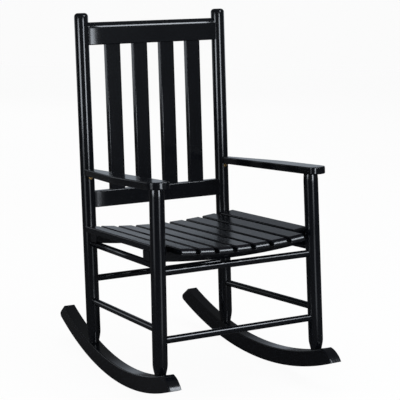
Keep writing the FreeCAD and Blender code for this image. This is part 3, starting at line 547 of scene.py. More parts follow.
class Workpiece:
    """Mesh of one piece on the bench, in millimetres, before it goes to its place."""

    def __init__(self, name: str) -> None:
        """Start an empty piece under its name."""
        self.name = name
        self.mesh = bmesh.new()

    def skin(self, rings: Sequence[Sequence[Vector]]) -> list[list[bmesh.types.BMVert]]:
        """Open skin through rings of equal count.

        Args:
            rings: rings of points, each in the same sense.

        Returns:
            The corners of each ring.
        """
        rows = [[self.mesh.verts.new(point) for point in ring] for ring in rings]
        for row, following in zip(rows, rows[1:]):
            for index in range(len(row)):
                after = (index + 1) % len(row)
                self.mesh.faces.new((row[index], row[after], following[after], following[index]))
        return rows

    def loft(self, rings: Sequence[Sequence[Vector]]) -> None:
        """Closed skin through rings of equal count, capped at both ends.

        Args:
            rings: rings of points, each in the same sense.
        """
        rows = self.skin(rings)
        self.mesh.faces.new(list(reversed(rows[0])))
        self.mesh.faces.new(rows[-1])

    def turn(self, profile: Outline, segments: int = 72) -> None:
        """Turned form about Z, from the radius and level of each ring, from the bottom up."""
        self.loft([circle(radius, level, segments) for radius, level in profile])

    def board(self, outline: Outline, thickness: float, edge: float, steps: int = 5) -> None:
        """Board in the XY plane, from minus to plus half its thickness in Z, with rounded edges.

        Args:
            outline: the board's outline, counter-clockwise.
            thickness: the board's thickness.
            edge: radius of its edges.
            steps: rings on a rounded edge.
        """
        points = [Vector(point) for point in outline]
        count = len(points)
        inward = []
        for index, point in enumerate(points):
            before = (point - points[index - 1]).normalized()
            after = (points[(index + 1) % count] - point).normalized()
            normal = Vector((-before.y - after.y, before.x + after.x))
            mitre = math.sqrt((1 + before.dot(after)) / 2)
            inward.append(normal.normalized() / max(MITRE_LIMIT, mitre))
        half = thickness / 2
        lower: Outline = [(edge + FLAT_GUARD, -half)]
        for step in range(steps + 1):
            angle = math.pi / 2 * step / steps
            lower.append((edge * (1 - math.sin(angle)), edge * (1 - math.cos(angle)) - half))
        lower.append((0.0, edge + FLAT_GUARD - half))
        levels = lower + [(inset, -level) for inset, level in reversed(lower)]
        self.loft([[(point + way * inset).to_3d() + Vector((0, 0, level))
                    for point, way in zip(points, inward)] for inset, level in levels])

    def finish(self, grain: Grain, number: float | None = None) -> bpy.types.Mesh:
        """Weld the mesh, turn its faces outwards, divide its caps and mark the run of its wood.

        Args:
            grain: the axis along which the wood runs.
            number: a number of the piece's own, which shifts its grain; nodes give it to copies.

        Returns:
            The mesh, in the piece's own place.
        """
        bmesh.ops.remove_doubles(self.mesh, verts=self.mesh.verts, dist=WELD)
        bmesh.ops.recalc_face_normals(self.mesh, faces=self.mesh.faces)
        caps = [face for face in self.mesh.faces if len(face.verts) > 4]
        bmesh.ops.triangulate(self.mesh, faces=caps)
        made = bpy.data.meshes.new(self.name)
        self.mesh.to_mesh(made)
        self.mesh.free()
        mark_grain(made, grain, number)
        return made


def mark_grain(mesh: bpy.types.Mesh, grain: Grain, number: float | None) -> None:
    """Write the attributes that the paint reads: place in the wood, and the piece's own number.

    Args:
        mesh: a mesh in millimetres, in the piece's own place.
        grain: the axis along which the wood runs.
        number: a number of the piece's own, or none.
    """
    place = mesh.attributes.new("grain", "FLOAT_VECTOR", "POINT")
    for vertex, item in zip(mesh.vertices, place.data):
        item.vector = [vertex.co[axis] * MM for axis in grain.value]
    if number is None:
        return
    shift = mesh.attributes.new("piece", "FLOAT", "POINT")
    shift.data.foreach_set("value", [number] * len(mesh.vertices))


def on_side(mesh: bpy.types.Mesh, side: Side) -> bpy.types.Mesh:
    """Keep a right-hand mesh, or mirror it to the left with its faces outwards.

    Args:
        mesh: the right-hand mesh, which is changed in place.
        side: where it goes.

    Returns:
        The same mesh.
    """
    if side is Side.LEFT:
        mesh.transform(Matrix.Scale(-1, 4, (1, 0, 0)))
        mesh.flip_normals()
    return mesh


@dataclass
class Shop:
    """Sets finished meshes in the chair, under its root body, and hides the CAD nodes they stand for.
    """

    place: ChairPlace
    made: list[str] = field(default_factory=list)

    def show(self, mesh: bpy.types.Mesh, finish: Finish, nodes: Sequence[str],
             crease: Crease = Crease.BOARD) -> None:
        """Put a piece in its place, dress it and let it stand for CAD nodes.

        Args:
            mesh: the piece, in millimetres of the chair's frame.
            finish: its finish.
            nodes: the CAD nodes that it stands for.
            crease: which of its edges stay sharp.
        """
        mesh.transform(self.place.matrix)
        mesh.shade_smooth()
        mesh.set_sharp_from_angle(angle=math.radians(crease.value))
        mesh.materials.clear()
        mesh.materials.append(finish.material())
        piece = linked(mesh.name, mesh)
        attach(piece, "root")
        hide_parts(*nodes)
        self.made.append(mesh.name)
        log.info("%s: %d faces for %s", mesh.name, len(mesh.polygons), ", ".join(nodes))

    def copy_solid(self, node: str, grain: Grain, number: float) -> bpy.types.Mesh:
        """Merged copy of a CAD node's mesh, with the run of its wood.

        Args:
            node: the CAD node.
            grain: the axis along which the wood runs.
            number: a number of the piece's own.

        Returns:
            The copy, in millimetres of the chair's frame.
        """
        work = bmesh.new()
        work.from_mesh(frame["nodes"][node].data)
        bmesh.ops.remove_doubles(work, verts=work.verts, dist=CAD_WELD)
        made = bpy.data.meshes.new(node + "_piece")
        work.to_mesh(made)
        work.free()
        made.transform(self.place.matrix.inverted())
        mark_grain(made, grain, number)
        return made


class NodeTree:
    """Geometry Nodes tree with named inputs, run once on an object."""

    def __init__(self, name: str, inputs: dict[str, str]) -> None:
        """Start a tree.

        Args:
            name: the tree's name.
            inputs: socket type of each named input after the geometry.
        """
        self.tree = bpy.data.node_groups.new(name, "GeometryNodeTree")
        self.tree.interface.new_socket("Geometry", in_out="INPUT", socket_type="NodeSocketGeometry")
        for label, kind in {**inputs, "Finish": "NodeSocketMaterial"}.items():
            self.tree.interface.new_socket(label, in_out="INPUT", socket_type=kind)
        self.tree.interface.new_socket("Geometry", in_out="OUTPUT", socket_type="NodeSocketGeometry")
        self.bench = NodeBench(self.tree)
        self.start = self.bench.add("NodeGroupInput")

    def input(self, label: str) -> Wire:
        """Wire of a named input."""
        return self.start.out(label)

    def store(self, geometry: Wire, name: str, value: Wire, kind: str = "FLOAT",
              domain: str = "POINT") -> Wire:
        """Store an attribute.

        Args:
            geometry: what gets it.
            name: the attribute's name.
            value: its value.
            kind: its data type.
            domain: the domain that holds it.

        Returns:
            The geometry with its attribute.
        """
        settings = {"data_type": kind, "domain": domain}
        return self.bench.add("GeometryNodeStoreNamedAttribute", settings,
                              {"Geometry": geometry, "Name": name, "Value": value})

    def read(self, name: str, kind: str = "FLOAT") -> Wire:
        """Value of a stored attribute."""
        return self.bench.add("GeometryNodeInputNamedAttribute", {"data_type": kind}, {"Name": name})

    def number_pieces(self, geometry: Wire, domain: str, seed: Seed) -> Wire:
        """Store a random number of its own on each copy, for the paint.

        Args:
            geometry: the copies.
            domain: the domain that holds them.
            seed: fixed seed.

        Returns:
            The geometry with its numbers.
        """
        pick = self.bench.add("FunctionNodeRandomValue", {"data_type": "FLOAT"},
                              {"Seed": seed.value}, 1)
        return self.store(geometry, "piece", pick, domain=domain)

    def aimed(self, primary: Wire, secondary: Wire) -> Wire:
        """Rotation that takes Z to one direction, and X near another."""
        axes = {"primary_axis": "Z", "secondary_axis": "X"}
        return self.bench.add("FunctionNodeAxesToRotation", axes,
                              {"Primary Axis": primary, "Secondary Axis": secondary})

    def close(self, geometry: Wire) -> None:
        """Realize copies, set the finish and end the tree.

        Args:
            geometry: what the tree has made.
        """
        solid = self.bench.add("GeometryNodeRealizeInstances", {}, {"Geometry": geometry})
        dressed = self.bench.add("GeometryNodeSetMaterial", {}, {
            "Geometry": solid, "Material": self.input("Finish")})
        self.bench.add("NodeGroupOutput", {}, {"Geometry": dressed})

    def run(self, mesh: bpy.types.Mesh, values: dict[str, Any]) -> bpy.types.Mesh:
        """Run the tree on a mesh and keep the result as a plain mesh.

        Args:
            mesh: the tree's geometry input, which is used up.
            values: value of each named input.

        Returns:
            The result, in the mesh's own frame.
        """
        name = mesh.name
        holder = linked(name + "_holder", mesh)
        modifier = holder.modifiers.new("nodes", "NODES")
        modifier.node_group = self.tree
        for item in self.tree.interface.items_tree:
            if item.in_out == "INPUT" and item.name in values:
                modifier[item.identifier] = values[item.name]
        graph = bpy.context.evaluated_depsgraph_get()
        made = bpy.data.meshes.new_from_object(
            holder.evaluated_get(graph), preserve_all_data_layers=True, depsgraph=graph)
        holder.modifiers.remove(modifier)
        bpy.data.objects.remove(holder)
        bpy.data.meshes.remove(mesh)
        made.name = name
        return made


def points_mesh(name: str, points: Sequence[Vector], aims: Sequence[Vector] = (),
                edges: Sequence[tuple[int, int]] = ()) -> bpy.types.Mesh:
    """Mesh of loose points or edges, each point with its aim where it has one.

    Args:
        name: name of the mesh.
        points: the points.
        aims: the direction stored with each point.
        edges: pairs of points that are joined.

    Returns:
        The mesh.
    """
    mesh = bpy.data.meshes.new(name)
    mesh.from_pydata([tuple(point) for point in points], list(edges), [])
    if aims:
        layer = mesh.attributes.new("aim", "FLOAT_VECTOR", "POINT")
        for item, aim in zip(layer.data, aims):
            item.vector = aim
    return mesh


@dataclass
class Posts:
    """Four turned posts: the front two carry the arms, the back two the rails."""

    front_half: float = 172.8
    back_half: float = 159.4
    depth: float = 332.9
    splay: float = 0.015
    front_dia: float = 29.0
    back_dia: float = 28.5
    back_top: float = 472.3
    top_round: float = 7.5
    foot_dia: float = 21.4
    foot_taper: float = 23.575
    foot_swell: float = 1.25
    foot_sink: float = 2.0
    head_dia: float = 27.0
    head_taper: float = 16.8
    head_swell: float = 1.8
    head_sink: float = 1.0
    flat_by_taper: float = 4.0
    flat_by_top: float = 5.0
    crown_strip: float = 0.8
    crown_middle: float = 2.0
    arm_level: float = 146.9
    foot_level: float = -208.8
    front_number: tuple[float, float] = (0.13, 0.21)
    back_number: tuple[float, float] = (0.57, 0.19)

    def front_axis(self, level: float) -> Vector:
        """Point of the right front post's axis."""
        return Vector((self.front_half - self.splay * level, -self.depth / 2, level))

    def back_axis(self, level: float) -> Vector:
        """Point of the right back post's axis."""
        return Vector((self.back_half, self.depth / 2, level))

    def foot_half(self) -> float:
        """Middle plane to the front foot."""
        return self.front_half - self.splay * self.foot_level

    def shaft(self, foot: float, dia: float, steps: int = 12) -> Outline:
        """Rings of a foot and its soft taper into the shaft.

        Args:
            foot: level of the rocker's top.
            dia: diameter of the post.
            steps: rings on the taper.

        Returns:
            Radius and level of each ring.
        """
        low, high = self.foot_dia / 2, dia / 2
        rings = [(low, foot - self.foot_sink), (low, foot)]
        for step in range(1, steps + 1):
            share = step / steps
            swell = low + (high - low) * math.sin(share * math.pi / 2) ** self.foot_swell
            rings.append((swell, foot + self.foot_taper * share))
        return rings + [(high, foot + self.foot_taper + self.flat_by_taper)]

    def front_profile(self, steps: int = 8) -> Outline:
        """Rings of a front post, from its foot to the underside of the arm.

        Args:
            steps: rings on the head's taper.

        Returns:
            Radius and level of each ring.
        """
        high, head = self.front_dia / 2, self.head_dia / 2
        rings = self.shaft(self.foot_level, self.front_dia)
        top = self.arm_level + self.head_sink
        rings.append((high, top - self.head_taper - self.flat_by_taper))
        for step in range(steps + 1):
            share = step / steps
            rings.append((high - (high - head) * share ** self.head_swell,
                          top - self.head_taper * (1 - share)))
        return rings

    def back_profile(self, foot: float, steps: int = 10) -> Outline:
        """Rings of a back post, from its foot to its rounded top.

        Args:
            foot: level of the rocker's top at the post.
            steps: rings on the rounded top.

        Returns:
            Radius and level of each ring.
        """
        high, edge, top = self.back_dia / 2, self.top_round, self.back_top
        rings = self.shaft(foot, self.back_dia) + [(high, top - edge - self.flat_by_top)]
        for step in range(steps + 1):
            angle = math.pi / 2 * step / steps
            rings.append((high - edge * (1 - math.cos(angle)), top - edge * (1 - math.sin(angle))))
        return rings + [(high - edge - self.crown_strip, top), (self.crown_middle, top)]

    def build(self, shop: Shop, back_foot: float) -> None:
        """Turn the posts and set them up.

        Args:
            shop: the shop that shows them.
            back_foot: level of the rocker's top at a back post.
        """
        upright = Matrix.Translation(self.back_axis(0))
        tilt = Matrix.Rotation(-math.atan(self.splay), 4, "Y")
        splayed = Matrix.Translation(self.front_axis(0)) @ tilt
        kinds = (("front", self.front_profile(), self.front_number, splayed),
                 ("back", self.back_profile(back_foot), self.back_number, upright))
        for side in Side:
            for kind, profile, number, place in kinds:
                work = Workpiece("%s_post_%s" % (kind, side.word))
                work.turn(profile)
                mesh = work.finish(Grain.Z, side.number(*number))
                mesh.transform(place)
                shop.show(on_side(mesh, side), TURNED_PAINT, ["post_%s_%s" % (kind, side.word)],
                          Crease.TURNED)


@dataclass
class Rungs:
    """Dowel rungs between the posts."""

    posts: Posts
    side_dia: float = 13.6
    front_dia: float = 14.2
    socket: float = 9.0
    lower_side: float = -122.0
    upper_front: float = -11.9
    lower_front: float = -141.9
    back_level: float = -76.0
    rings: int = 12
    sides: int = 48
    drilled_number: tuple[float, float] = (0.5, 0.2)

    def tree(self) -> NodeTree:
        """Nodes that turn each edge into a dowel.

        Returns:
            The tree.
        """
        nodes = NodeTree("dowels", {"Dowel Radius": "NodeSocketFloat", "Sides": "NodeSocketInt"})
        bench = nodes.bench
        axes = bench.add("GeometryNodeMeshToCurve", {}, {"Mesh": nodes.input("Geometry")})
        axes = bench.add("GeometryNodeResampleCurve", {}, {"Curve": axes, "Count": self.rings})
        axes = nodes.number_pieces(axes, "CURVE", Seed.RUNGS)
        axes = nodes.store(axes, "run", bench.add("GeometryNodeSplineParameter", {}, {}, "Length"))
        ring = bench.add("GeometryNodeCurvePrimitiveCircle", {}, {
            "Resolution": nodes.input("Sides"), "Radius": nodes.input("Dowel Radius")})
        ring = nodes.store(ring, "round", bench.add("GeometryNodeInputPosition"), "FLOAT_VECTOR")
        dowels = bench.add("GeometryNodeCurveToMesh", {}, {
            "Curve": axes, "Profile Curve": ring, "Fill Caps": True})
        across = bench.add("ShaderNodeSeparateXYZ", {}, {0: nodes.read("round", "FLOAT_VECTOR")})
        wood = bench.add("ShaderNodeCombineXYZ", {}, {
            "X": across, "Y": across.out("Y"), "Z": nodes.read("run")})
        metres = bench.scaled(wood, (MM, MM, MM))
        nodes.close(nodes.store(dowels, "grain", metres, "FLOAT_VECTOR"))
        return nodes

    def ends(self, start: Vector, stop: Vector, start_dia: float,
             stop_dia: float) -> tuple[Vector, Vector]:
        """Ends of a rung, each a socket's depth below the surface of its post.

        Args:
            start: axis of the first post.
            stop: axis of the second post.
            start_dia: diameter of the first post.
            stop_dia: diameter of the second post.

        Returns:
            Both ends.
        """
        way = (stop - start).normalized()
        return start + way * (start_dia / 2 - self.socket), stop - way * (stop_dia / 2 - self.socket)

    def build(self, shop: Shop) -> None:
        """Make the plain rungs by nodes, and copy the two that are drilled for screws.

        Args:
            shop: the shop that shows them.
        """
        posts, nodes = self.posts, self.tree()
        across = Vector((-1, 1, 1))
        lower = self.ends(posts.front_axis(self.lower_side), posts.back_axis(self.lower_side),
                          posts.front_dia, posts.back_dia)
        back = posts.back_axis(self.back_level)
        slim = [*lower, *(end * across for end in lower),
                *self.ends(back * across, back, posts.back_dia, posts.back_dia)]
        stout: list[Vector] = []
        for level in (self.upper_front, self.lower_front):
            point = posts.front_axis(level)
            stout += self.ends(point * across, point, posts.front_dia, posts.front_dia)
        kinds = (("side_and_back_rungs", slim, self.side_dia,
                  ["side_rung_lower_right", "side_rung_lower_left", "back_rung"]),
                 ("front_rungs", stout, self.front_dia, ["front_rung_upper", "front_rung_lower"]))
        for name, ends, dia, names in kinds:
            pairs = [(index, index + 1) for index in range(0, len(ends), 2)]
            mesh = nodes.run(points_mesh(name, ends, edges=pairs), {
                "Dowel Radius": dia / 2, "Sides": self.sides, "Finish": TURNED_PAINT.material()})
            shop.show(mesh, TURNED_PAINT, names, Crease.TURNED)
        for side in Side:
            node = "side_rung_upper_" + side.word
            mesh = shop.copy_solid(node, Grain.Y, side.number(*self.drilled_number))
            shop.show(mesh, TURNED_PAINT, [node], Crease.DRILLED_RUNG)


@dataclass
class Rockers:
    """Two bent runners under the posts."""

    posts: Posts
    thickness: float = 25.2
    depth: float = 33.4
    radius: float = 724.5
    shift: float = 3.55
    top_ahead: float = 4.1
    top_lift: float = 1.9
    nose: float = 67.0
    nose_cut: float = 32.5
    nose_radius: float = 46.0
    tail: float = 171.7
    tail_cut: float = 33.0
    tail_round: float = 8.0
    tail_clear: float = 0.5
    edge: float = 2.0
    number: tuple[float, float] = (0.41, 0.33)

    def __post_init__(self) -> None:
        """Work out the centres of both arcs."""
        posts = self.posts
        self.span = math.hypot(posts.depth, posts.foot_half() - posts.back_half)
        self.roll_back = self.span / 2 + self.shift
        self.top_back = self.roll_back - self.top_ahead
        self.top_radius = self.radius - self.depth + self.top_lift
        self.top_rise = posts.foot_level + leg(self.top_radius, self.top_back)
        self.roll_rise = self.top_rise - self.top_lift

    def running_edge(self, along: float) -> float:
        """Level of the running edge, at one place behind the front foot."""
        return self.roll_rise - leg(self.radius, along - self.roll_back)

    def upper_edge(self, along: float) -> float:
        """Level of the upper edge, at one place behind the front foot."""
        return self.top_rise - leg(self.top_radius, along - self.top_back)

    def back_foot(self) -> float:
        """Level of the upper edge at the back post."""
        return self.upper_edge(self.span)

    def outline(self) -> Outline:
        """Side view of a rocker: along and level.

        Returns:
            The outline, counter-clockwise.
        """
        tip, heel = -self.nose, self.span + self.tail
        heel_top, tip_top = heel - self.tail_cut, self.nose_cut - self.nose
        low_tip, low_heel = ((along, self.running_edge(along)) for along in (tip, heel))
        high_tip, high_heel = ((along, self.upper_edge(along)) for along in (tip_top, heel_top))
        sole = arc_points(low_tip, low_heel, self.radius, turn=1, steps=60)
        top = arc_points(high_heel, high_tip, self.top_radius, turn=-1, steps=48)
        nose = arc_points(high_tip, low_tip, self.nose_radius, turn=1, steps=10)
        before, here, after = Vector(sole[-1]), Vector(low_heel), Vector(high_heel)
        back, on = (before - here).normalized(), (after - here).normalized()
        reach = self.tail_round / math.tan(back.angle(on) / 2)
        start, stop = here + back * reach, here + on * reach
        corner = arc_points(tuple(start), tuple(stop), self.tail_round, turn=1, steps=8)
        sole = [point for point in sole if point[0] < start.x - self.tail_clear]
        return sole + corner + [tuple(stop)] + top + nose

    def build(self, shop: Shop) -> None:
        """Cut both rockers and set them under the posts.

        Args:
            shop: the shop that shows them.
        """
        posts = self.posts
        toe = math.atan2(posts.foot_half() - posts.back_half, posts.depth)
        stand = Matrix(((0, 0, 1, 0), (1, 0, 0, 0), (0, 1, 0, 0), (0, 0, 0, 1)))
        foot = Matrix.Translation((posts.foot_half(), -posts.depth / 2, 0))
        for side in Side:
            work = Workpiece("rocker_board_" + side.word)
            work.board(self.outline(), self.thickness, self.edge)
            mesh = work.finish(Grain.X, side.number(*self.number))
            mesh.transform(foot @ Matrix.Rotation(toe, 4, "Z") @ stand)
            shop.show(on_side(mesh, side), PAINT, ["rocker_" + side.word])


@dataclass
class Arms:
    """Two flat arms that widen to the front."""

    posts: Posts
    thickness: float = 14.6
    drop: float = 1.12
    inside: float = 16.5
    outside: float = 24.7
    back_inside: float = 5.4
    back_width: float = 15.0
    parallel: float = 140.0
    overhang: float = 30.0
    inner_round: float = 12.0
    outer_round: float = 22.0
    flare_round: float = 260.0
    edge: float = 2.0
    number: tuple[float, float] = (0.71, 0.23)

    def outline(self) -> Outline:
        """Plan of the right arm, from the front post's axis.

        Returns:
            The outline, counter-clockwise.
        """
        axis = self.posts.front_axis(self.posts.arm_level).x
        inner, outer = axis - self.inside, axis + self.outside
        back = self.posts.back_half - self.back_inside
        return rounded([
            (inner, -self.overhang, self.inner_round),
            (outer, -self.overhang, self.outer_round),
            (outer, self.parallel, self.flare_round),
            (back + self.back_width, self.posts.depth, 0.0),
            (back, self.posts.depth, 0.0),
        ], steps=10)

    def build(self, shop: Shop) -> None:
        """Cut both arms and lay them on the front posts.

        Args:
            shop: the shop that shows them.
        """
        lay = Matrix.Translation((0, -self.posts.depth / 2, self.posts.arm_level))
        lay = lay @ Matrix.Rotation(-math.radians(self.drop), 4, "X")
        lay = lay @ Matrix.Translation((0, 0, self.thickness / 2))
        for side in Side:
            work = Workpiece("arm_board_" + side.word)
            work.board(self.outline(), self.thickness, self.edge)
            mesh = work.finish(Grain.Y, side.number(*self.number))
            mesh.transform(lay)
            shop.show(on_side(mesh, side), ARM_PAINT, ["arm_" + side.word])


@dataclass
class BackFrame:
    """Crest rail, lower rail and the upright slats between them."""

    posts: Posts
    rail_thickness: float = 18.0
    rail_forward: float = 2.0
    ease: float = 1.6
    ease_length: float = 24.0
    flat_by_ease: float = 4.0
    socket: float = 9.0
    crest_drop: float = 19.3
    crest_height: float = 46.0
    crest_front_round: float = 12.0
    crest_back_round: float = 5.0
    lower_top: float = 107.4
    lower_height: float = 33.9
    edge: float = 2.0
    slat_count: int = 4
    slat_pitch: float = 62.2
    slat_width: float = 32.0
    slat_thickness: float = 13.0
    slat_round: float = 1.5
    housing: float = 8.0
    rail_number: float = 0.37

    def rail(self, name: str, top: float, height: float, rounds: tuple[float, float], node: str,
             shop: Shop) -> None:
        """Shape one rail, with its front eased back to the posts.

        Args:
            name: name of the piece.
            top: level of its top.
            height: its height.
            rounds: radius of its top edges, front and back.
            node: the CAD node that it stands for.
            shop: the shop that shows it.
        """
        half = self.rail_thickness / 2
        section = rounded([(-half, top - height, self.edge), (half, top - height, self.edge),
                           (half, top, rounds[1]), (-half, top, rounds[0])], steps=12)
        shoulder = self.posts.back_half - self.posts.back_dia / 2
        end = shoulder + self.socket
        slope = shoulder - self.ease_length
        steps = 8
        parts = [self.ease_length * step / steps for step in range(1, steps)]
        runs = [-end, -shoulder, *(-shoulder + part for part in parts), -slope,
                -slope + self.flat_by_ease, -slope / 2, 0.0, slope / 2, slope - self.flat_by_ease,
                slope, *(slope + part for part in parts), shoulder, end]
        middle = self.posts.depth / 2 - self.rail_forward
        rings = []
        for run in runs:
            share = min(max((abs(run) - slope) / self.ease_length, 0.0), 1.0)
            squeeze = (self.rail_thickness - self.ease * share ** 2) / self.rail_thickness
            rings.append([Vector((run, middle + half + (y - half) * squeeze, z)) for y, z in section])
        work = Workpiece(name)
        work.loft(rings)
        shop.show(work.finish(Grain.X, self.rail_number + top * MM), PAINT, [node])

    def slat_tree(self) -> NodeTree:
        """Nodes that set a row of slats side by side.

        Returns:
            The tree.
        """
        nodes = NodeTree("back_slats", {"Count": "NodeSocketInt", "Pitch": "NodeSocketFloat"})
        bench = nodes.bench
        index = bench.add("GeometryNodeInputIndex")
        offset = (index - (nodes.input("Count") - 1) / 2) * nodes.input("Pitch")
        places = bench.add("ShaderNodeCombineXYZ", {}, {"X": offset})
        row = bench.add("GeometryNodePoints", {}, {"Count": nodes.input("Count"), "Position": places})
        copies = bench.add("GeometryNodeInstanceOnPoints", {}, {
            "Points": row, "Instance": nodes.input("Geometry")})
        nodes.close(nodes.number_pieces(copies, "INSTANCE", Seed.BACK_SLATS))
        return nodes

    def build(self, shop: Shop) -> None:
        """Shape the rails and set the slats between them.

        Args:
            shop: the shop that shows them.
        """
        crest_top = self.posts.back_top - self.crest_drop
        self.rail("crest_board", crest_top, self.crest_height,
                  (self.crest_front_round, self.crest_back_round), "crest_rail", shop)
        self.rail("lower_back_board", self.lower_top, self.lower_height, (self.edge, self.edge),
                  "lower_back_rail", shop)
        low, high = self.lower_top - self.housing, crest_top - self.crest_height + self.housing
        half = self.slat_width / 2
        slat = Workpiece("back_slats")
        slat.board([(-half, low), (half, low), (half, high), (-half, high)], self.slat_thickness,
                   self.slat_round)
        prototype = slat.finish(Grain.Y)
        prototype.transform(Matrix.Rotation(math.pi / 2, 4, "X"))
        mesh = self.slat_tree().run(prototype, {
            "Count": self.slat_count, "Pitch": self.slat_pitch, "Finish": PAINT.material()})
        middle = self.posts.depth / 2 - self.rail_forward
        mesh.transform(Matrix.Translation((0, middle, 0)))
        shop.show(mesh, PAINT, ["back_slat_%d" % (index + 1) for index in range(self.slat_count)])


@dataclass
class Seat:
    """Dished seat: slats on the rules of a shallow cone, carried by two battens."""

    posts: Posts
    count: int = 9
    width: float = 31.7
    thickness: float = 13.0
    edge: float = 2.2
    nose: float = 10.8
    nose_under: float = 1.2
    front_gap: float = 14.95
    back_gap: float = 13.45
    radius: float = 1290.0
    lift: float = 0.15
    overhang: float = 28.0
    stop_gap: float = 6.4
    corner_gap: float = 2.5
    batten_depth: float = 18.2
    front_batten_back: float = 39.4
    back_batten_front: float = 32.4
    side_rung_dia: float = 13.6
    saddle: float = 1.1
    edge_share: float = 0.4
    batten_numbers: tuple[float, float] = (0.2, 0.7)

    def __post_init__(self) -> None:
        """Work out the cone from the posts and the battens."""
        posts = self.posts
        spaces = (self.count - 3) / 2
        front = (posts.front_half - (posts.front_dia + self.width) / 2 - self.front_gap) / spaces
        back = (posts.back_half - (posts.back_dia + self.width) / 2 - self.back_gap) / spaces
        self.front_batten = self.front_batten_back - posts.depth / 2
        self.back_batten = posts.depth / 2 - self.back_batten_front
        at_front = front + (back - front) * self.front_batten_back / posts.depth
        at_back = back + (front - back) * self.back_batten_front / posts.depth
        self.back_radius = self.radius * at_back / at_front
        self.step = at_front / self.radius
        self.slope = (self.back_radius - self.radius) / (self.back_batten - self.front_batten)
        narrowing = posts.front_half - posts.back_half
        rung = posts.front_half - self.front_batten_back * narrowing / posts.depth
        under = leg(self.radius + self.batten_depth, rung)
        self.bed = self.side_rung_dia / 2 - self.saddle - self.radius + under

    def rest(self) -> tuple[float, float]:
        """Middle of the middle slat's flat top.

        Returns:
            Its place front to back, and its level.
        """
        front = -self.posts.depth / 2 - self.overhang + self.nose
        back = self.posts.depth / 2 - self.stop_gap
        return (front + back) / 2, self.bed + self.lift + self.thickness

    def slat(self, name: str, front: float, back: float, steps: int = 16) -> bpy.types.Mesh:
        """One slat with a rounded nose: X across, Y along, Z from its underside.

        Args:
            name: name of the mesh.
            front: its front end.
            back: its back end.
            steps: rings on the nose.

        Returns:
            The mesh.
        """
        half, tip, heel = self.width / 2, front + self.nose, front + self.nose_under
        angles = (math.pi / 2 * step / steps for step in range(steps + 1))
        runs = [front + self.nose * (1 - math.cos(angle)) for angle in angles]
        rings = []
        for run in (*runs, tip + FLAT_GUARD, back - FLAT_GUARD, back):
            top = self.thickness - self.nose + leg(self.nose, max(tip - run, 0.0))
            low = self.nose_under - leg(self.nose_under, max(heel - run, 0.0))
            edge = min(self.edge, self.edge_share * (top - low))
            section = rounded([(-half, low, edge), (half, low, edge), (half, top, edge),
                               (-half, top, edge)], steps=6)
            rings.append([Vector((x, run, z)) for x, z in section])
        work = Workpiece(name)
        work.loft(rings)
        return work.finish(Grain.Y)

    def tree(self) -> NodeTree:
        """Nodes that lay slats on the rules of a cone.

        Returns:
            The tree.
        """
        sizes = dict.fromkeys(("Step Angle", "Middle Radius", "Slope", "Bed Level", "Lift"),
                              "NodeSocketFloat")
        nodes = NodeTree("cone_seat", {"Count": "NodeSocketInt", **sizes})
        bench = nodes.bench
        index = bench.add("GeometryNodeInputIndex")
        angle = (index - (nodes.input("Count") - 1) / 2) * nodes.input("Step Angle")
        sine, cosine = angle.math("SINE"), angle.math("COSINE")
        rise = 1 - cosine
        slope = nodes.input("Slope")
        along = bench.add("ShaderNodeCombineXYZ", {}, {"X": slope * sine, "Y": 1.0, "Z": slope * rise})
        across = bench.add("ShaderNodeCombineXYZ", {}, {"X": cosine, "Z": sine})
        upward = bench.add("ShaderNodeVectorMath", {"operation": "NORMALIZE"},
                           {0: bench.vector_math("CROSS_PRODUCT", across, along)})
        radius = nodes.input("Middle Radius")
        rule = bench.add("ShaderNodeCombineXYZ", {}, {
            "X": radius * sine, "Z": radius * rise + nodes.input("Bed Level")})
        raised = bench.add("ShaderNodeVectorMath", {"operation": "SCALE"},
                           {0: upward, "Scale": nodes.input("Lift")})
        places = bench.add("GeometryNodePoints", {}, {
            "Count": nodes.input("Count"), "Position": bench.vector_math("ADD", rule, raised)})
        copies = bench.add("GeometryNodeInstanceOnPoints", {}, {
            "Points": places, "Instance": nodes.input("Geometry"),
            "Rotation": nodes.aimed(upward, across)})
        nodes.close(nodes.number_pieces(copies, "INSTANCE", Seed.SEAT_SLATS))
        return nodes

    def build(self, shop: Shop) -> None:
        """Lay the slats and set the battens under them.

        Args:
            shop: the shop that shows them.
        """
        posts, nodes = self.posts, self.tree()
        half = posts.depth / 2
        whole = self.slat("seat_slats", -half - self.overhang, half - self.stop_gap)
        short = self.slat("seat_end_slats", posts.front_dia / 2 + self.corner_gap - half,
                          half - posts.back_dia / 2 - self.corner_gap)
        common = {"Middle Radius": self.radius - self.slope * self.front_batten, "Slope": self.slope,
                  "Bed Level": self.bed, "Lift": self.lift, "Finish": SEAT_PAINT.material()}
        names = ["seat_slat_%d" % (index + 1) for index in range(self.count)]
        inner = nodes.run(whole, {**common, "Count": self.count - 2, "Step Angle": self.step})
        outer = nodes.run(short, {**common, "Count": 2, "Step Angle": self.step * (self.count - 1)})
        shop.show(inner, SEAT_PAINT, names[1:-1])
        shop.show(outer, SEAT_PAINT, [names[0], names[-1]])
        for node, number in zip(("seat_batten_front", "seat_batten_back"), self.batten_numbers):
            shop.show(shop.copy_solid(node, Grain.X, number), PAINT, [node], Crease.BATTEN)


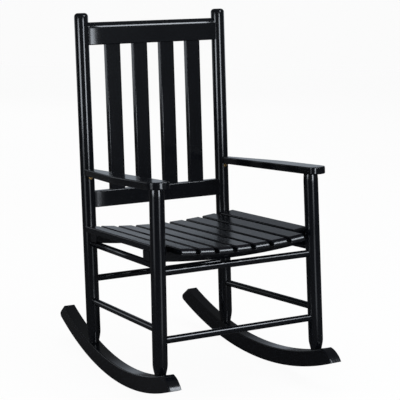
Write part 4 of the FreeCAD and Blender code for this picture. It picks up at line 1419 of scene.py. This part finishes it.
@dataclass
class Screws:
    """Screws of the seat, out of sight, and the two brass ones under the arms."""

    posts: Posts
    seat: Seat
    slat_dia: float = 3.5
    slat_head: float = 7.0
    slat_recess: float = 9.0
    rung_dia: float = 4.0
    rung_head: float = 7.5
    rung_recess: float = 3.5
    rung_offset: float = 7.5
    head_height: float = 2.2
    arm_dia: float = 4.5
    arm_head: float = 7.5
    arm_head_height: float = 3.0
    arm_level: float = 136.5
    stub: float = 9.0
    tip_radius: float = 0.3
    under_head: float = 0.2
    seat_dome: float = 0.8
    arm_dome: float = 2.2
    slot_share: float = 0.11
    cross_share: float = 0.3
    cross_depth: float = 0.55
    cross_taper: float = 0.6
    flat_share: float = 0.36
    rim_share: float = 0.14
    segments: int = 24

    def screw(self, name: str, dia: float, head: float, height: float, dome: float) -> bpy.types.Mesh:
        """Screw about Z with a cross recess: the head lies below zero, the shank above.

        Args:
            name: name of the mesh.
            dia: diameter of the shank.
            head: diameter of the head.
            height: height of the head.
            dome: how much of the height is domed.

        Returns:
            The mesh.
        """
        work = Workpiece(name)
        slot, arm = head * self.slot_share, head * self.cross_share
        quarter = [(slot, slot), (slot, arm), (-slot, arm)]
        cross = []
        for _ in range(4):
            cross += quarter
            quarter = [(-y, x) for x, y in quarter]
        floor = -height + height * self.cross_depth
        recess = work.skin([[Vector((x * share, y * share, level)) for x, y in cross]
                            for level, share in ((floor, self.cross_taper), (-height, 1.0))])
        work.mesh.faces.new(recess[0])
        flat, steps = head * self.flat_share, 6
        rings = [(flat, -height)]
        for step in range(1, steps + 1):
            angle = math.pi / 2 * step / steps
            rings.append((flat + head * self.rim_share * math.sin(angle),
                          -height + dome * (1 - math.cos(angle))))
        rings += [(head / 2, -self.under_head), (dia / 2, 0.0), (dia / 2, self.stub),
                  (self.tip_radius, self.stub + dia)]
        rows = work.skin([circle(radius, level, self.segments) for radius, level in rings])
        work.mesh.faces.new(rows[-1])
        rim = [work.mesh.edges.get((loop[index - 1], loop[index]))
               for loop in (recess[1], rows[0]) for index in range(len(loop))]
        bmesh.ops.triangle_fill(work.mesh, edges=rim, use_beauty=True)
        return work.finish(Grain.Z, 0.0)

    @staticmethod
    def tree() -> NodeTree:
        """Nodes that drive a copy of a screw at each point, along its aim.

        Returns:
            The tree.
        """
        nodes = NodeTree("driven_screws", {"Screw": "NodeSocketObject", "Twist Seed": "NodeSocketInt"})
        bench = nodes.bench
        kind = bench.add("GeometryNodeObjectInfo", {}, {"Object": nodes.input("Screw")}, "Geometry")
        aim = nodes.read("aim", "FLOAT_VECTOR")
        twist = bench.add("FunctionNodeRandomValue", {"data_type": "FLOAT"}, {
            2: 0.0, 3: math.tau, "Seed": nodes.input("Twist Seed")}, 1)
        around = bench.add("ShaderNodeCombineXYZ", {}, {
            "X": twist.math("COSINE"), "Y": twist.math("SINE") * 0.5, "Z": twist.math("SINE")})
        nodes.close(bench.add("GeometryNodeInstanceOnPoints", {}, {
            "Points": nodes.input("Geometry"), "Instance": kind,
            "Rotation": nodes.aimed(aim, around)}))
        return nodes

    @staticmethod
    def drive(shop: Shop, nodes: NodeTree, name: str, screw: bpy.types.Mesh,
              places: Sequence[tuple[Vector, Vector]], finish: Finish, node: str) -> None:
        """Drive copies of one screw and show them as one piece.

        Args:
            shop: the shop that shows them.
            nodes: the screw tree.
            name: name of the piece.
            screw: the screw's mesh.
            places: bearing point and aim of each.
            finish: the screws' finish.
            node: the CAD node that they stand for.
        """
        kind = linked(name + "_kind", screw)
        spots = points_mesh(name, [point for point, _ in places], [aim for _, aim in places])
        mesh = nodes.run(spots, {
            "Screw": kind, "Twist Seed": len(places), "Finish": finish.material()})
        bpy.data.objects.remove(kind)
        shop.show(mesh, finish, [node], Crease.SCREW)

    def slat_places(self) -> list[tuple[Vector, Vector]]:
        """Places of the screws through the battens.

        Returns:
            Bearing point and aim of each.
        """
        seat, places = self.seat, []
        battens = ((seat.front_batten, seat.radius), (seat.back_batten, seat.back_radius))
        for along, radius in battens:
            centre = Vector((0, along, seat.bed + radius))
            for index in range(seat.count):
                turn = (index - (seat.count - 1) / 2) * seat.step
                aim = Vector((-math.sin(turn), 0, math.cos(turn)))
                places.append((centre - aim * (radius + seat.batten_depth - self.slat_recess), aim))
        return places

    def rung_places(self) -> list[tuple[Vector, Vector]]:
        """Places of the screws through the upper side rungs.

        Returns:
            Bearing point and aim of each.
        """
        posts, seat, places = self.posts, self.seat, []
        for along in (seat.front_batten + self.rung_offset, seat.back_batten - self.rung_offset):
            share = (along + posts.depth / 2) / posts.depth
            point = posts.front_axis(0).lerp(posts.back_axis(0), share)
            point.z = self.rung_recess - seat.side_rung_dia / 2
            places += [(point * Vector((sign, 1, 1)), Vector((0, 0, 1))) for sign in (1, -1)]
        return places

    def arm_places(self) -> list[tuple[Vector, Vector]]:
        """Bearing point and aim of each brass screw."""
        point = self.posts.back_axis(self.arm_level) - Vector((0, self.posts.back_dia / 2, 0))
        return [(point * Vector((sign, 1, 1)), Vector((0, 1, 0))) for sign in (1, -1)]

    def build(self, shop: Shop) -> None:
        """Drive all the screws.

        Args:
            shop: the shop that shows them.
        """
        nodes = self.tree()
        slat = self.screw("slat_screw", self.slat_dia, self.slat_head, self.head_height, self.seat_dome)
        rung = self.screw("rung_screw", self.rung_dia, self.rung_head, self.head_height, self.seat_dome)
        brass = self.screw("brass_screw", self.arm_dia, self.arm_head, self.arm_head_height,
                           self.arm_dome)
        kinds = (("slat_screw_heads", slat, self.slat_places(), ZINC, "seat_slat_screws"),
                 ("rung_screw_heads", rung, self.rung_places(), ZINC, "seat_rung_screws"),
                 ("arm_screw_heads", brass, self.arm_places(), BRASS, "arm_support_screws"))
        for name, screw, places, finish, node in kinds:
            self.drive(shop, nodes, name, screw, places, finish, node)


@dataclass
class Softbox:
    """One soft light: a rectangle that faces a level of the chair's middle."""

    name: str
    spot: Triple
    aim: float
    width: float
    height: float
    glow: float
    tint: Colour = (0.86, 0.92, 1.0)
    mirrored: bool = True

    def build(self) -> None:
        """Hang the light, out of the camera's sight."""
        lamp = bpy.data.lights.new(self.name, "AREA")
        lamp.shape = "RECTANGLE"
        lamp.size, lamp.size_y = self.width, self.height
        lamp.energy = self.glow * self.width * self.height * math.pi
        lamp.color = self.tint
        light = linked(self.name, lamp)
        light.location = self.spot
        light.rotation_mode = "QUATERNION"
        way = Vector((0.0, 0.0, self.aim)) - Vector(self.spot)
        light.rotation_quaternion = way.to_track_quat("-Z", "Y")
        light.visible_camera = False
        light.visible_glossy = self.mirrored


@dataclass
class Studio:
    """White sweep, soft lights and the photograph's camera."""

    place: ChairPlace
    lens: float = 128.444
    sensor: float = 36.0
    clip: tuple[float, float] = (0.05, 60.0)
    camera_spot: Triple = (-1365.471, -2505.451, 489.194)
    azimuth: float = -28.80275
    elevation: float = 7.92978
    roll: float = -1.70065
    dim: float = 0.08
    room: Colour = (0.95, 0.97, 1.0)
    floor_mirrored: Colour = (0.02, 0.02, 0.022)
    floor_half: float = 16.0
    backdrop_way: Triple = (0.485, 0.873, 0.0)
    backdrop_far: float = 5.0
    backdrop_half: float = 4.5
    backdrop_height: float = 1.7
    lights: Sequence[Softbox] = (
        Softbox("left_strip", (-1.97, -0.35, 0.56), 0.56, 0.8, 0.36, 6.4),
        Softbox("left_spill", (-1.97, -0.35, 0.19), 0.19, 0.8, 0.38, 0.8),
        Softbox("front_strip", (0.173, -2.194, 0.68), 0.68, 0.66, 0.52, 8.4),
        Softbox("front_spill", (0.173, -2.194, 0.31), 0.31, 0.66, 0.22, 1.5),
        Softbox("front_foot", (0.090, -1.146, 0.11), 0.11, 0.34, 0.22, 0.9),
        Softbox("back_strip", (-1.05, 2.2, 0.50), 0.50, 0.66, 0.60, 0.8),
        Softbox("right_strip", (2.2, 0.9, 0.50), 0.50, 0.66, 0.60, 0.8),
        Softbox("key_box", (1.10, -1.57, 1.95), 0.55, 0.8, 0.8, 10.0),
        Softbox("top_box", (0.0, 0.0, 3.2), 0.0, 3.0, 3.0, 2.4, WHITE, False),
        Softbox("front_fill", (-1.6, -2.6, 1.5), 0.35, 2.0, 2.0, 1.4, WHITE, False),
        Softbox("back_fill", (1.2, 3.2, 1.5), 0.35, 2.0, 2.0, 1.4, WHITE, False),
    )

    def camera(self) -> None:
        """Set up the camera at the photograph's angle."""
        lens = bpy.data.cameras.new("photograph")
        lens.sensor_width, lens.lens = self.sensor, self.lens
        lens.clip_start, lens.clip_end = self.clip
        camera = linked("photograph", lens)
        bpy.context.scene.camera = camera
        turn, rise, roll = map(math.radians, (self.azimuth, self.elevation, self.roll))
        flat = math.cos(rise)
        back = Vector((math.sin(turn) * flat, -math.cos(turn) * flat, math.sin(rise)))
        level = Vector((math.cos(turn), math.sin(turn), 0))
        right = level * math.cos(roll) + back.cross(level) * math.sin(roll)
        axes = Matrix((right, back.cross(right), back)).transposed()
        lean = Matrix.Rotation(-self.place.lean, 3, "X")
        spot = Matrix.Translation(self.place.matrix @ Vector(self.camera_spot))
        camera.matrix_world = spot @ (lean @ axes).to_4x4()

    def sweep(self) -> None:
        """Lay the floor and stand the backdrop well behind the chair."""
        reach = self.floor_half
        floor = [(-reach, -reach, 0), (reach, -reach, 0), (reach, reach, 0), (-reach, reach, 0)]
        back = Vector(self.backdrop_way)
        foot, rise = back * self.backdrop_far, Vector((0.0, 0.0, self.backdrop_height))
        side = Vector((back.y, -back.x, 0.0)) * self.backdrop_half
        backdrop = [foot - side, foot + side, foot + side + rise, foot - side + rise]
        planes = (("floor", floor, StudioWhite("studio_floor", mirrored=self.floor_mirrored)),
                  ("backdrop", backdrop, StudioWhite("studio_backdrop")))
        for name, points, finish in planes:
            mesh = bpy.data.meshes.new(name)
            mesh.from_pydata([tuple(point) for point in points], [], [(0, 1, 2, 3)])
            mesh.materials.append(finish.material())
            plane = linked(name, mesh)

    def surroundings(self) -> None:
        """Dim room for the object, white for the picture."""
        world = bpy.data.worlds.new("studio")
        bpy.context.scene.world = world
        world.use_nodes = True
        bench = NodeBench(world.node_tree)
        seen = bench.add("ShaderNodeLightPath", {}, {}, "Is Camera Ray")
        room = bench.add("ShaderNodeBackground", {}, {"Color": (*self.room, 1), "Strength": self.dim})
        white = bench.add("ShaderNodeBackground", {}, {"Color": (*WHITE, 1), "Strength": 1.0})
        both = bench.add("ShaderNodeMixShader", {}, {0: seen, 1: room, 2: white})
        bench.add("ShaderNodeOutputWorld", {}, {"Surface": both})

    def build(self) -> None:
        """Set up the studio."""
        bpy.context.scene.view_settings.view_transform = "Standard"
        self.surroundings()
        self.sweep()
        for light in self.lights:
            light.build()
        self.camera()


def main() -> None:
    """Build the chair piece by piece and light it."""
    logging.basicConfig(level=logging.INFO, format="%(name)s %(message)s")
    posts = Posts()
    seat = Seat(posts)
    rockers = Rockers(posts)
    shop = Shop(ChairPlace.from_record(frame["record"], *seat.rest()))
    posts.build(shop, rockers.back_foot())
    Rungs(posts).build(shop)
    rockers.build(shop)
    Arms(posts).build(shop)
    BackFrame(posts).build(shop)
    seat.build(shop)
    Screws(posts, seat).build(shop)
    Studio(shop.place).build()
    log.info("%d pieces, lean %.3f degrees", len(shop.made), math.degrees(shop.place.lean))


if __name__ == "__main__":
    main()
